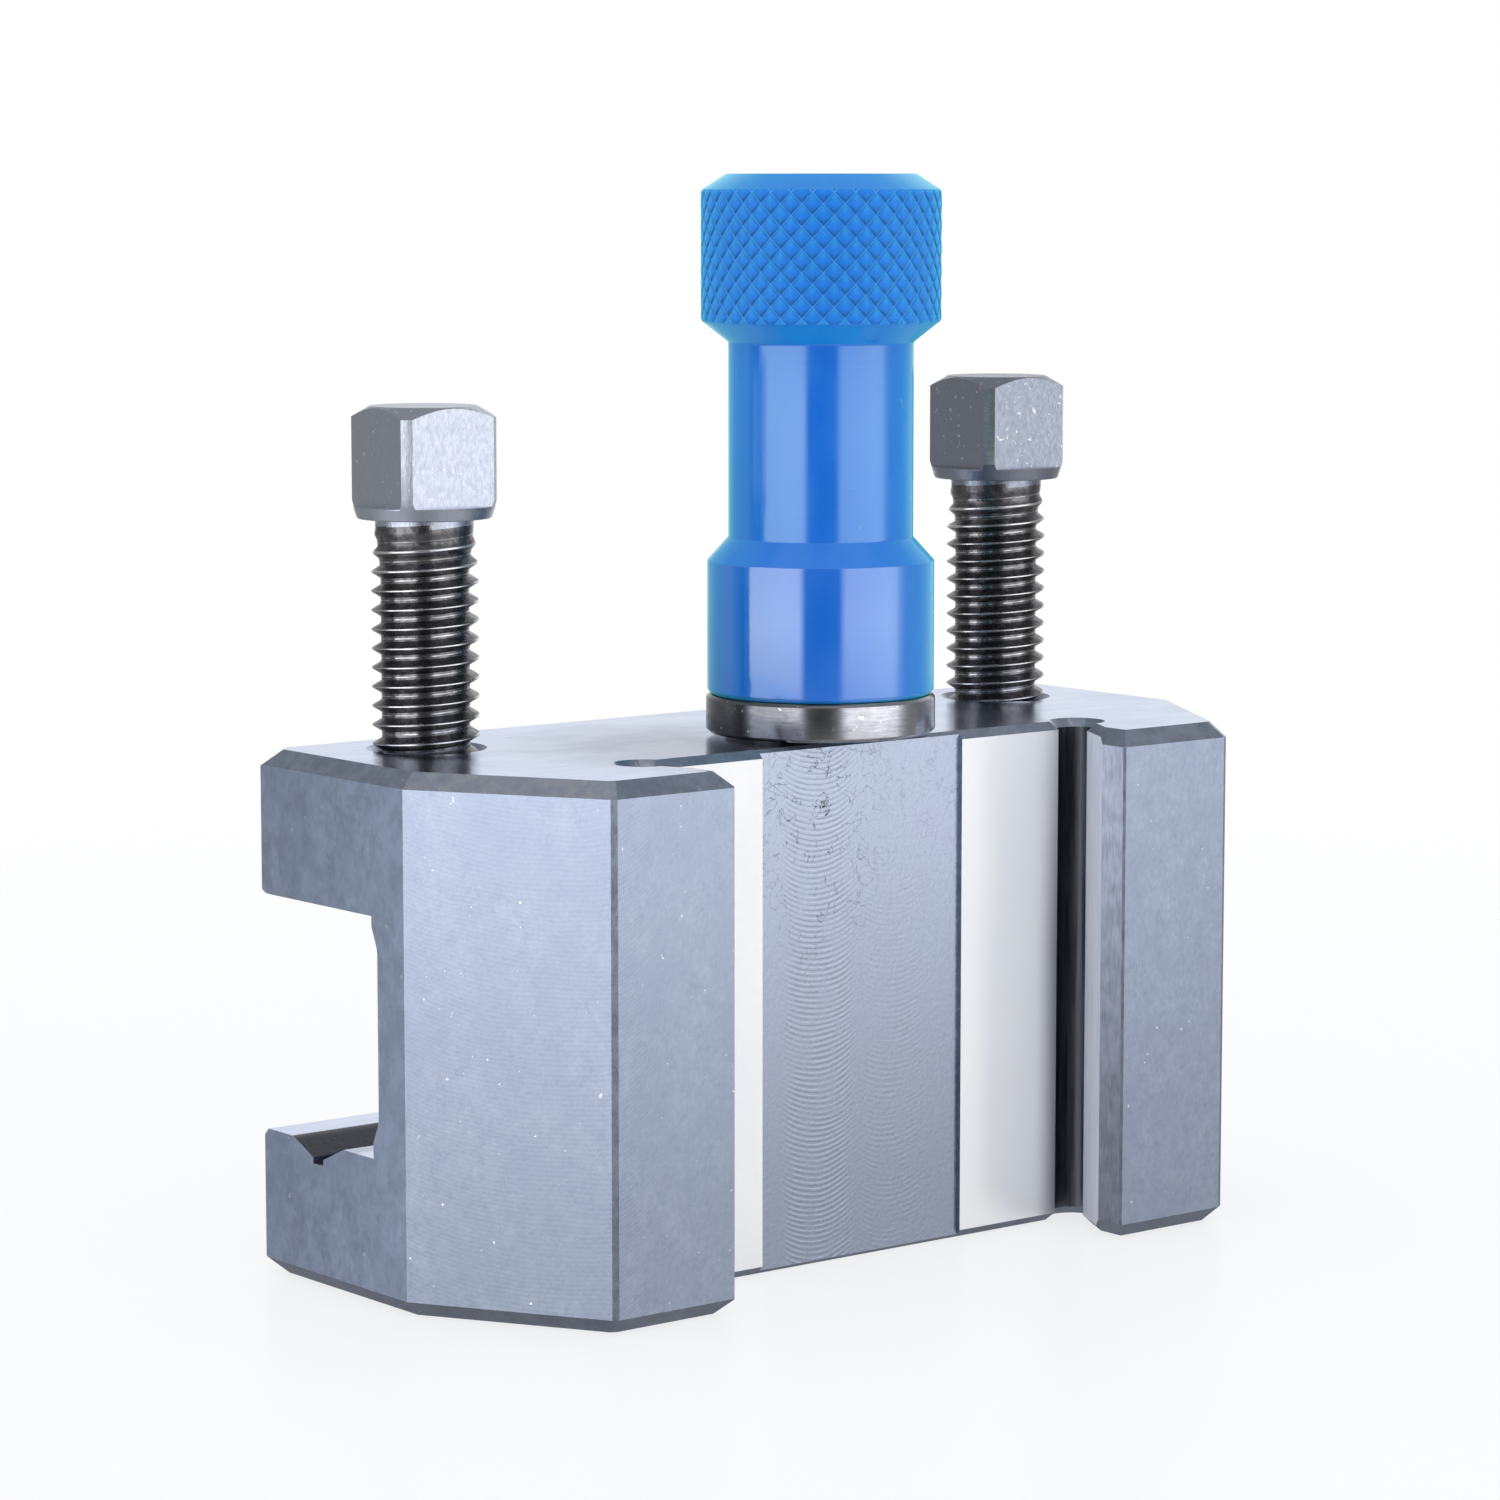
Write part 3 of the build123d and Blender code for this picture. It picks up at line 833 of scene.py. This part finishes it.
def point_at(angle, radius, height, axis):
    """A point in metres, at a radius and height in mm round the axis (x, y), in mm too."""
    return ((axis[0] + radius * cos(angle)) * mm, (axis[1] + radius * sin(angle)) * mm, height * mm)


def ring_at(angles, radius, height, axis):
    """One level ring of points."""
    return [point_at(a, radius, height, axis) for a in angles]


# %% [markdown]
# ## Easing the corners of a turned profile
# A lathe hand breaks every corner with a touch of a file. So a profile is given as corners, each
# with its radius, height and a small round, and the rounds are worked out as short arcs. A bevel
# afterwards would do as well, but it would also touch the knurl, which must stay crisp.

# %% Helper: eased profile
longest_ease = 0.45           # the share of a profile's side that the round at one end may take


def eased(corners, steps=3):
    """Profile points through (radius, height, round) corners, which close on themselves."""
    points = []
    for at, (r, z, rounding) in enumerate(corners):
        if rounding == 0:
            points.append((r, z))
            continue
        here = Vector((r, z))
        back = Vector(corners[at - 1][:2]) - here
        on = Vector(corners[(at + 1) % len(corners)][:2]) - here
        turn = back.angle(on)
        reach = min(rounding / tan(turn / 2), back.length * longest_ease, on.length * longest_ease)
        start, end = here + back.normalized() * reach, here + on.normalized() * reach
        for step in range(steps + 1):
            share = step / steps
            bent = start * (1 - share) ** 2 + here * 2 * share * (1 - share) + end * share ** 2
            points.append(tuple(bent))
    return points


# %% [markdown]
# ## Steel that was turned
# The collar, the stud and the screws are plain turned steel. They share one recipe: a grey
# metal, rings from the lathe tool, a few nicks, and a roughness of their own. The collar is
# painted darker towards the back, as painted shade, so a finish may be told how dark its back is painted.

# %% Turned steel
# Painted shade: finishes are painted darker towards the back, between these two places.
shade_from, shade_by = -13.2, -8.6      # mm along Y: a finish starts to dull to the back, and is dullest


def turned_steel(name, light, dark, roughness, ring_depth, nick_share=0.74, shade_at_back=1.0):
    finish, shader, place = start_finish(name, 1.0, roughness)
    rings = use_group(turning_rings, Place=place, Rings_per_mm=5.0)["Height"]
    cloud = grained(place, (0.5, 0.5, 0.6), 3.0)
    streaks = grained(place, (0.6, 0.6, 5.0), 3.0)
    mottled = times(plus(cloud, streaks), 0.5)
    # Painted shade: the colour is painted darker towards the back.
    level = fade(parts_of(place)["Y"], shade_from, shade_by, 1.0, shade_at_back)
    tone = scaled(mix_tint(mottled, dark, light), level)
    nicked = use_group(nicks, Place=place, Per_mm=1.6, Threshold=nick_share)["Mask"]
    feed(mix_tint(nicked, tone, tint(0.9, 0.9, 0.92)), shader, "Base Color")
    feed(fade(mottled, 0.0, 1.0, roughness + 0.05, roughness - 0.04), shader, "Roughness")
    relief_on(shader, rings, ring_depth)
    return finish


# The collar's back is painted darker, as painted shade.
collar_finish = turned_steel("turned_steel", tint(0.66, 0.675, 0.73), tint(0.40, 0.41, 0.46), 0.2, 0.004,
                             nick_share=0.72, shade_at_back=0.42)
stud_finish = turned_steel("stud_steel", tint(0.56, 0.56, 0.58), tint(0.4, 0.4, 0.42), 0.3, 0.003)
ring_finish = turned_steel("spring_steel", tint(0.24, 0.24, 0.26), tint(0.15, 0.15, 0.165), 0.42, 0.002)
lock_finish = turned_steel("black_oxide_steel", tint(0.10, 0.10, 0.11), tint(0.045, 0.045, 0.05), 0.38,
                           0.002)
print("finishes:", collar_finish.name, stud_finish.name, ring_finish.name, lock_finish.name)

# %% [markdown]
# ## The stop collar
# A plain ring, loose on the sleeve, that rests on top of the tool post. It is turned, with a
# recess below for the retaining ring. One profile, swept once round the stud, makes it.

# %% Build the collar
stud_axis = (0.0, -3.7)       # mm
collar_corners = [
    (6.06, 50.10, 0.0), (8.70, 50.10, 0.1), (8.70, 47.80, 0.15), (10.125, 47.80, 0.08),
    (10.425, 48.10, 0.12), (10.425, 50.95, 0.12), (10.125, 51.25, 0.08), (6.06, 51.25, 0.12),
]
collar_columns = 160


def build_collar():
    rings = [ring_at(even_angles(collar_columns), r, z, stud_axis) for r, z in eased(collar_corners)]
    mesh = skin_rings("collar_ring", rings, loop=True)
    finished_piece("collar_ring", mesh, [collar_finish], "collar", "stop_collar")


build_collar()

# %% [markdown]
# ## Blue anodised aluminium
# Anodising grows a clear, hard skin on aluminium that takes up dye. Light goes through the skin,
# comes back blue, and some of it is mirrored at the skin itself, which gives the pale lavender
# bands of the soft boxes. So the blue is the base colour, and the skin is a strong clear gloss
# with a high refractive index. Where the steel around it mirrors the sleeve, the dye is painted
# almost black, a painted darkening of its reflection: without that, blue stripes would run down
# the screws.

# %% Blue anodised finish
def blue_anodised(name, roughness, gloss, skin_tint, ring_depth):
    finish, shader, place = start_finish(name, 0.0, roughness)
    shader.inputs["IOR"].default_value = gloss
    shader.inputs["Specular Tint"].default_value = skin_tint
    shader.inputs["Sheen Weight"].default_value = 0.85
    shader.inputs["Sheen Roughness"].default_value = 0.5
    shader.inputs["Sheen Tint"].default_value = tint(0.07, 0.82, 0.80)
    cloud = grained(place, (0.25, 0.25, 0.12), 2.0)
    rings = use_group(turning_rings, Place=place, Rings_per_mm=4.0)["Height"]
    tone = mix_tint(cloud, tint(0.001, 0.155, 0.78), tint(0.002, 0.175, 0.83))
    lined = mix_tint(fade(rings, 0.3, 0.7, 0.0, 0.25), tone, tint(0.001, 0.14, 0.75))
    nicked = use_group(nicks, Place=place, Per_mm=1.1, Threshold=0.79)["Mask"]
    dyed = mix_tint(times(nicked, 0.5), lined, tint(0.10, 0.28, 0.70))
    # Painted dark reflection: the dye turns nearly black where it is mirrored.
    feed(painted_dark_in_mirrors(dyed), shader, "Base Color")
    feed(fade(cloud, 0.0, 1.0, roughness - 0.02, roughness + 0.04), shader, "Roughness")
    if ring_depth:
        relief_on(shader, rings, ring_depth)
    return finish, shader, place, lined


def painted_dark_in_mirrors(colour):
    """The dye as it is, but painted nearly black where something else mirrors it, a painted dark reflection.
    """
    mirrored = add_node(colour.id_data, "ShaderNodeLightPath").outputs["Is Glossy Ray"]
    return mix_tint(times(mirrored, 0.88), colour, tint(0.004, 0.012, 0.03))


sleeve_finish = blue_anodised("blue_anodised", 0.13, 2.35, tint(0.67, 0.88, 0.65), 0.0015)[0]
foot_finish = blue_anodised("blue_anodised_foot", 0.11, 2.5, tint(0.93, 1.0, 0.87), 0.0015)[0]
print("finishes:", sleeve_finish.name, foot_finish.name)

# %% [markdown]
# ## The height sleeve and its knurl
# The sleeve is turned in one piece: a spigot for the collar, a wide foot, a slim neck, and a
# grip with a diamond knurl. A knurl is two sets of spiral grooves that cross. Bump could fake
# it, but the grip's outline would stay smooth, so it is cut in the mesh: columns and rows are
# spaced so that both sets of grooves run exactly through points of the grid, each face folds
# along the groove that crosses it, and the diamonds come out with true flat sides. Where the
# turned cones cut in deeper than the grooves, the cones win, which scallops the knurl's ends.

# %% The shape of the sleeve, in mm
sleeve_corners = [
    (4.02, 48.80, 0.0), (4.72, 48.10, 0.08), (6.00, 48.10, 0.12), (6.00, 49.01, 0.0), (5.55, 49.01, 0.0),
    (5.55, 50.09, 0.0), (6.00, 50.09, 0.0), (6.00, 51.30, 0.0), (9.95, 51.30, 0.12), (10.30, 51.65, 0.18),
    (10.30, 63.35, 0.16), (8.375, 65.50, 0.28), (8.375, 83.05, 0.28), (10.85, 85.00, 0.10),
    (10.85, 96.60, 0.10), (8.55, 98.10, 0.30), (4.72, 98.10, 0.12), (4.02, 97.40, 0.0),
]
knurl_starts = 35             # grooves in each set
diamond_height = 2.01         # mm
groove_depth = 0.2            # mm
wall_share, wall_rise = 0.25, 0.8     # a diamond's walls: their share of its half width, and of its height
knurl_skin = 0.22             # mm, how deep under the grip's surface the knurl's finish reaches
knurl_ends = 0.8              # mm, over which that finish fades in at each end
parts_per_diamond = 8         # columns, and rows, that each diamond is drawn with
knurl_low, knurl_high = 84.4, 97.0
foot_top = 63.4               # mm, up to where the sleeve's foot runs
inside_skin = 8.0             # mm, a radius between the sleeve's bore and its outside


# %% Helpers: the knurl
def knurl_cut(column, row):
    """How far below the grip's surface a grid point lies. Grooves are where a sum is whole."""
    def ridge(count):
        return 1 - abs(2 * (count / parts_per_diamond % 1) - 1)
    inside = min(ridge(column + row), ridge(column - row))
    walls = wall_rise * min(1.0, inside / wall_share)
    tip = (1 - wall_rise) * max(0.0, (inside - wall_share) / (1 - wall_share))
    return groove_depth * (1 - (walls + tip))


def knurl_fold(column, row):
    """Which way a face folds, so that its fold runs along the nearest groove or wall."""
    rising, falling = (column - row) % parts_per_diamond, (column + row + 1) % parts_per_diamond
    last = parts_per_diamond - 1
    if rising == 0:
        return "rise"
    if falling == 0:
        return "fall"
    if rising in (1, last):
        return "rise"
    return "fall" if falling in (1, last) else None


def profile_radius(points, height):
    """Radius of the outside of a profile at a height inside the knurled stretch."""
    for (r0, z0), (r1, z1) in zip(points, points[1:]):
        if z0 <= height <= z1 and z1 > z0 and max(r0, r1) > inside_skin:
            return r0 + (r1 - r0) * (height - z0) / (z1 - z0)
    return 0.0


# %% [markdown]
# ### The knurl's finish
# In the grip, the lower sides of the diamonds are painted darker, as painted shade from the dark
# below, their upper sides are painted lighter, and the bottoms of the grooves get a painted
# highlight. The diamonds are too small for the mesh to carry all of that, so the finish counts
# grooves just as the mesh does: turns round the axis plus, or minus, diamonds up. Each sum is
# whole on a groove, and its fraction says how far across a diamond a point lies.

# %% Knurl finish
def knurled_finish():
    finish, shader, place, lined = blue_anodised("blue_anodised_knurl", 0.45, 1.6, tint(0.5, 1, 0.65), 0.0)
    x, y, z = parts_of(place)
    aside = reckon("SUBTRACT", y, stud_axis[1])
    around = times(reckon("ARCTAN2", aside, x), knurl_starts / (2 * pi))
    up = reckon("DIVIDE", reckon("SUBTRACT", z, knurl_low), diamond_height)
    from_left = reckon("FRACT", plus(around, up))
    from_right = reckon("SUBTRACT", 1.0, reckon("FRACT", reckon("SUBTRACT", around, up)))
    near = reckon("MINIMUM", from_left, from_right)
    far = reckon("MAXIMUM", from_left, from_right)
    # Painted shade on the lower sides of the diamonds, and painted light on their upper sides.
    painted_wall_shade = times(fade(near, 0.10, 0.38, 1.0, 0.0), fade(far, 0.25, 0.85, 1.0, 0.1))
    painted_upper_light = fade(near, 0.35, 0.85, 0.1, 0.75)
    grooves = [reckon("PINGPONG", count, 0.5) for count in (from_left, from_right)]
    # Painted highlight along the bottoms of the grooves.
    line = fade(reckon("MINIMUM", *grooves), 0.0, 0.06, 0.75, 0.0)
    rows = times(fade(z, knurl_low, knurl_low + knurl_ends),
                 fade(z, knurl_high, knurl_high - knurl_ends))
    wall_shade_share = times(painted_wall_shade, times(rows, 0.85))
    shaded = mix_tint(wall_shade_share, lined, tint(0.0, 0.055, 0.36))
    lit = mix_tint(painted_upper_light, shaded, tint(0.02, 0.29, 0.80))
    with_painted_groove_light = mix_tint(line, lit, tint(0.15, 0.44, 0.88))
    feed(painted_dark_in_mirrors(with_painted_groove_light), shader, "Base Color")
    return finish


knurl_finish = knurled_finish()
print("finish:", knurl_finish.name)

# %% Build the sleeve
def build_sleeve():
    angles = even_angles(knurl_starts * parts_per_diamond)
    outline = eased(sleeve_corners)
    grip = max(r for r, _, _ in sleeve_corners)
    row_height = diamond_height / parts_per_diamond
    rows = [knurl_low + row_height * n for n in range(1 + floor((knurl_high - knurl_low) / row_height))]
    below = [p for p in outline if p[1] <= rows[0] - 0.01]
    last_under = max(at for at, p in enumerate(outline) if p[1] <= rows[-1] and p[0] > inside_skin)
    above = outline[last_under + 1:]
    rings = [ring_at(angles, r, z, stud_axis) for r, z in below]
    first_knurled = len(rings)
    for row, z in enumerate(rows):
        limit = profile_radius(outline, z)
        radii = [min(limit, grip - knurl_cut(column, row)) for column in range(len(angles))]
        rings.append([point_at(a, r, z, stud_axis) for a, r in zip(angles, radii)])
    rings += [ring_at(angles, r, z, stud_axis) for r, z in above]

    def fold(column, ring):
        row = ring - first_knurled
        return knurl_fold(column, row) if 0 <= row < len(rows) - 1 else None

    mesh = skin_rings("knurled_sleeve", rings, loop=True, cut_corner=fold)
    finished_piece("knurled_sleeve", mesh, [sleeve_finish, knurl_finish, foot_finish], "sleeve",
                   "height_sleeve", smooth_to=22.0)
    for face in mesh.polygons:
        across = hypot(face.center.x / mm - stud_axis[0], face.center.y / mm - stud_axis[1])
        if rows[0] * mm < face.center.z < rows[-1] * mm and across > grip - knurl_skin:
            face.material_index = 1
        elif face.center.z < foot_top * mm:
            face.material_index = 2


build_sleeve()

# %% [markdown]
# ## Cutting a thread
# A screw thread is one ridge wound round a rod. A ring of points that climbs by one pitch in one
# turn lies exactly along it, so the rings of a threaded stretch are such climbing rings, ten to
# a pitch: two on the crest, two on each flank and four in the root. At the ends each ring is held
# at the last level, which welds it into a flat edge. Under a head the thread fades over two and
# a half turns, as a die leaves it. Right-hand threads climb with the angle.

# %% Helper: thread
# How far up one pitch each ring lies, and how high it stands: 0 is the root, 1 the crest.
thread_shape = [(0.00, 1.0), (0.06, 1.0), (0.10, 0.90), (0.34, 0.08), (0.39, 0.0),
                (0.50, 0.0), (0.56, 0.0), (0.67, 0.0), (0.72, 0.08), (0.96, 0.90)]
blunt = 0.4                   # mm, how far a thread that isn't cut yet lies under its crest


def thread_height(share):
    """How high the thread stands at a share of its pitch, from 0 to 1."""
    share %= 1
    ends = thread_shape + [(1.0, thread_shape[0][1])]
    for (s0, h0), (s1, h1) in zip(ends, ends[1:]):
        if s0 <= share <= s1:
            return h0 + (h1 - h0) * (share - s0) / (s1 - s0)
    return 1.0


def threaded_rings(angles, axis, low, high, pitch, crest, root, limit, started=0.0, cut=None):
    """Climbing rings from low to high, in mm, within limit(z). started moves the thread up by a
    share of its pitch, and cut(z) says how far it is cut there, from 0 to 1."""
    rings = []
    for turn in range(-3, int((high - low) / pitch) + 2):
        for share, _ in thread_shape:
            ring = []
            for a in angles:
                climb = (a - angles[0]) / (2 * pi) + started
                z = min(high, max(low, low + (turn + share + climb) * pitch))
                stands = thread_height((z - low) / pitch - climb)
                done = cut(z) if cut else 1.0
                radius = crest - (1 - done) * blunt - done * (crest - root) * (1 - stands)
                ring.append(point_at(a, min(radius, limit(z)), z, axis))
            rings.append(ring)
    return rings


# %% [markdown]
# ## Finishes of the clamping screws
# The screws were hardened and tumbled: their heads are bright and mottled, with scuffs from the
# wrench. In the threads the scale stays, so the flanks are nearly black, and only the crests,
# which rub in the block, shine. A thin line in the roots is painted bright, as a painted highlight.

# %% Finishes of the screws
def scuffed_head(name, light, dark):
    finish, shader, place = start_finish(name, 1.0, 0.3)
    blotch = grained(place, (2.6, 2.6, 1.3), 5.0)
    fine = grained(place, (7.0, 7.0, 2.2), 3.0)
    mottled = plus(times(blotch, 0.5), times(fine, 0.5))
    tone = mix_tint(mottled, dark, light)
    scuffs = use_group(nicks, Place=place, Per_mm=1.7, Threshold=0.70)["Mask"]
    scuffed = mix_tint(times(scuffs, 0.7), tone, tint(0.93, 0.93, 0.95))
    feed(scuffed, shader, "Base Color")
    feed(fade(mottled, 0.0, 1.0, 0.40, 0.27), shader, "Roughness")
    relief_on(shader, mottled, 0.010)
    return finish


scale_finish = grained_metal("thread_scale", 1.0, (0.34, 0.22), (1.2, 1.2, 1.2), 4.0,
                             (tint(0.10, 0.10, 0.11), tint(0.25, 0.245, 0.26)), relief=0.012)
heads = {
    "left_clamp_screw": scuffed_head("bright_head_steel", tint(0.63, 0.675, 0.78), tint(0.55, 0.59, 0.71)),
    "right_clamp_screw": scuffed_head("dull_head_steel", tint(0.41, 0.445, 0.53), tint(0.34, 0.37, 0.455)),
}
# A painted highlight: the bright finish of the thin line in the roots.
root_highlight_finish = turned_steel("painted_root_highlight", tint(0.85, 0.85, 0.87), tint(0.10, 0.10, 0.11), 0.16, 0.004)
crest_finish = turned_steel("rubbed_crest", tint(0.95, 0.95, 0.97), tint(0.62, 0.62, 0.66), 0.3, 0.004)
print("finishes:", [head.name for head in heads.values()], scale_finish.name, crest_finish.name)

# %% [markdown]
# ## The clamping screws
# Each is a 3/8 inch screw with a square head, a low collar under it, and a plain dog point that
# bears on the tool. Its thread has the pitch that the photograph shows, 1.7 mm. The head is a
# square bar whose corners were turned off, with a cone over and under them. The screw is built in
# rings from the point up. On the head a ring is not round: at each angle it lies on the square or
# on the turned surface, whichever is nearer the axis, and extra columns stand where the two meet,
# so those curved edges are exact.

# %% Sizes of the clamping screws, in mm
half_square, corner_circle, head_collar = 4.925, 6.465, 5.965
head_height, collar_height, taper_height, head_top, crown_drop = 9.9, 1.1, 1.6, 4.75, 0.99
crest_radius, root_radius, screw_pitch = 4.7625, 3.93, 1.70
cut_from, cut_over = 0.6, 4.2         # how far below the head the thread starts, and fades over
bright_neck, scraped = 0.6, 5.0       # how far below the head the screw, and its thread's top, are bright
rubbed_deep, scraped_deep = 0.05, 0.34        # how deep the crests are bright, and above there
# The painted highlight in the roots lies between these shares of the pitch.
root_highlight_band = (0.50, 0.55)              # shares of the pitch between which the root shines
corner_skin = 0.03                    # how far inside the corners' circle a face still counts as one of them
neck_radius, neck_length, thread_low, dog_top, point_low = 4.3625, 1.2, -27.55, -29.0, -32.0
dog_radius, dog_chamfer = 3.3125, 0.5
thread_started = -0.31                # shares of a pitch
# Of each: where it stands along the block, its head's underside, its turn in degrees, body and node.
clamp_screws = {
    "left_clamp_screw": (-33.8, 67.9, -3.1, "left_screw", "clamp_screw_left"),
    "right_clamp_screw": (33.8, 68.8, -2.7, "right_screw", "clamp_screw_right"),
}
screw_row = 10.4                      # where both screws stand across the block
scale_at, crest_at, root_highlight_at = 1, 2, 3         # places in a screw's finishes, after its head's
# Degrees from the middle of one flat: where its own columns stand.
side_columns = [-45.0, -42.6, -40.38, -38.68, -34.0, -26.0, -17.0, -8.5,
                0.0, 8.5, 17.0, 26.0, 34.0, 38.68, 40.38, 42.6]


# %% Helpers: the outside of a clamping screw, where z is counted from under its head
def screw_limit(z):
    """The screw's outside below its head, where the thread may not stand higher."""
    if z > -neck_length:
        return neck_radius
    if z < thread_low:
        return crest_radius - (thread_low - z) * (crest_radius - dog_radius) / (thread_low - dog_top)
    return min(crest_radius, neck_radius + (-neck_length - z))


def screw_cut(z):
    """How far the die had cut the thread."""
    return min(1.0, max(0.0, (-z - cut_from) / cut_over))


def under_head(z):
    """Radius of the cone under the head's corners."""
    return head_collar + (corner_circle - head_collar) * z / taper_height


def head_column(angle):
    """The rings of the head at one angle from a flat's middle, as (radius, height)."""
    wall = min(half_square / cos(angle), corner_circle)
    ease = 0.08
    rim = under_head(collar_height)
    foot = [(head_collar - ease, 0.0), (under_head(ease), ease)]
    foot += [(under_head(collar_height - ease), collar_height - ease)]
    if wall > rim:
        meets = taper_height * (wall - head_collar) / (corner_circle - head_collar)
        foot += [(rim, collar_height), (wall, meets)]
    else:
        foot += [(max(wall, rim - ease), collar_height), (wall, collar_height)]
    crown = head_height - crown_drop * (wall - head_top) / (corner_circle - head_top)
    return foot + [(wall, (foot[-1][1] + crown) / 2), (wall, crown), (head_top, head_height)]


def thread_finish(out, below, share):
    """Which finish a face takes, out from the axis, below the head and at a share of the pitch."""
    if out > crest_radius - (scraped_deep if below < scraped else rubbed_deep):
        return crest_at
    in_root = root_highlight_band[0] < share < root_highlight_band[1]
    return root_highlight_at if in_root and below < -dog_top else scale_at


# %% Build the clamping screws
def build_clamp_screw(name):
    x, underside, turned, body, node = clamp_screws[name]
    columns = [(side, step) for side in range(4) for step in side_columns]
    angles = [radians(turned + 90 * side + step) for side, step in columns]
    axis = (x, screw_row)
    point = [(0.0, point_low), (dog_radius - dog_chamfer, point_low),
             (dog_radius, point_low + dog_chamfer), (dog_radius, dog_top)]
    rings = [ring_at(angles, r, underside + z, axis) for r, z in point]
    first = len(rings)
    rings += threaded_rings(angles, axis, underside + dog_top, underside, screw_pitch, crest_radius,
                            root_radius, lambda z: screw_limit(z - underside), thread_started,
                            lambda z: screw_cut(z - underside))
    last = len(rings) - 1
    stacks = [head_column(radians(step)) for _, step in columns]
    for level in zip(*stacks):
        rings.append([point_at(a, r, underside + z, axis) for a, (r, z) in zip(angles, level)])
    rings.append(ring_at(angles, 0.0, underside + head_height, axis))
    mesh = skin_rings(name, rings, climbs=(first, last, len(thread_shape)))
    finishes = [heads[name], scale_finish, crest_finish, root_highlight_finish]
    finished_piece(name, mesh, finishes, body, node, smooth_to=28.0)
    for face in mesh.polygons:
        aside, away = face.center.x / mm - x, face.center.y / mm - screw_row
        below = underside - face.center.z / mm
        out = hypot(aside, away)
        turns = (atan2(away, aside) - angles[0]) % (2 * pi) / (2 * pi) + thread_started
        if below > bright_neck:
            face.material_index = thread_finish(out, below, ((-dog_top - below) / screw_pitch - turns) % 1)
        elif name == "right_clamp_screw" and out > corner_circle - corner_skin:
            face.material_index = crest_at


for name in clamp_screws:
    build_clamp_screw(name)

# %% [markdown]
# ## The stud, the locking screw and the retaining ring
# These are hidden while the sleeve is down. The stud shows when the sleeve climbs, the locking
# screw shows down the sleeve's mouth, with its hexagon socket, and the retaining ring is seen
# only from below. They are built as carefully as their size allows: true threads of 18 to the
# inch, a true socket, and a sprung ring with its gap.

# %% Helper: a rod with the fine thread
fine_pitch, fine_crest, fine_root = 25.4 / 18, 3.97, 3.20     # mm
fine_angles = even_angles(48)


def fine_rod(low, high, chamfer):
    """Rings of a rod with the fine thread and chamfered ends, and which of them climb."""
    def outside(z):
        return fine_crest - max(0.0, chamfer - (z - low), chamfer - (high - z))
    rings = [ring_at(fine_angles, 0.0, low, stud_axis)]
    rings += threaded_rings(fine_angles, stud_axis, low, high, fine_pitch, fine_crest, fine_root, outside)
    return rings, (1, len(rings) - 1, len(thread_shape))


# %% Build the stud
stud_low, stud_high, stud_chamfer = 35.9, 81.9, 0.8           # mm


def build_stud():
    rings, threaded = fine_rod(stud_low, stud_high, stud_chamfer)
    rings.append(ring_at(fine_angles, 0.0, stud_high, stud_axis))
    mesh = skin_rings("threaded_stud", rings, climbs=threaded)
    finished_piece("threaded_stud", mesh, [stud_finish], "holder", "height_stud",
                   smooth_to=28.0)


build_stud()

# %% Build the locking screw
lock_low, lock_high, lock_chamfer = 82.0, 94.0, 0.5           # mm
socket_apothem, socket_depth, socket_break, drill_point = 1.985, 4.5, 0.12, 0.6


def socket_ring(inset, height):
    """A hexagon round the axis, inset wider than the socket."""
    ring = []
    for a in fine_angles:
        from_flat = (a + pi / 6) % (pi / 3) - pi / 6
        ring.append(point_at(a, (socket_apothem + inset) / cos(from_flat), height, stud_axis))
    return ring


def build_lock_screw():
    rings, threaded = fine_rod(lock_low, lock_high, lock_chamfer)
    rings += [socket_ring(socket_break, lock_high), socket_ring(0.0, lock_high - socket_break),
              socket_ring(0.0, lock_high - socket_depth),
              ring_at(fine_angles, 0.0, lock_high - socket_depth - drill_point, stud_axis)]
    mesh = skin_rings("socket_lock_screw", rings, climbs=threaded)
    finished_piece("socket_lock_screw", mesh, [lock_finish], "lock", "lock_screw",
                   smooth_to=28.0)


build_lock_screw()

# %% Build the retaining ring
spring_inner, spring_outer, spring_low, spring_high = 5.59, 7.80, 49.05, 50.05        # mm
spring_gap, spring_round, spring_steps = 2.6, 0.12, 72                # mm, mm and a count


def build_retaining_ring():
    """A flat section swept round the spigot, with parallel ends on either side of its gap."""
    section = eased([(spring_outer, spring_low, spring_round), (spring_outer, spring_high, spring_round),
                     (spring_inner, spring_high, spring_round), (spring_inner, spring_low, spring_round)], 2)
    points, faces = [], []
    for step in range(spring_steps + 1):
        for r, z in section:
            open_by = atan2(spring_gap / 2, sqrt(r * r - spring_gap ** 2 / 4))
            a = open_by + (2 * pi - 2 * open_by) * step / spring_steps
            points.append(point_at(a, r, z, stud_axis))
    count = len(section)
    for step in range(spring_steps):
        for at in range(count):
            after = (at + 1) % count
            here = step * count
            faces.append((here + at, here + count + at, here + count + after, here + after))
    faces.append(tuple(range(count)))
    faces.append(tuple(reversed(range(spring_steps * count, (spring_steps + 1) * count))))
    mesh = mesh_from("spring_ring", points, faces)
    finished_piece("spring_ring", mesh, [ring_finish], "sleeve", "retaining_ring")


build_retaining_ring()

# %% [markdown]
# ## Bringing the scene up to date
# The view layer is updated once more, so every piece stands where it was put.

# %% Update the scene
bpy.context.view_layer.update()
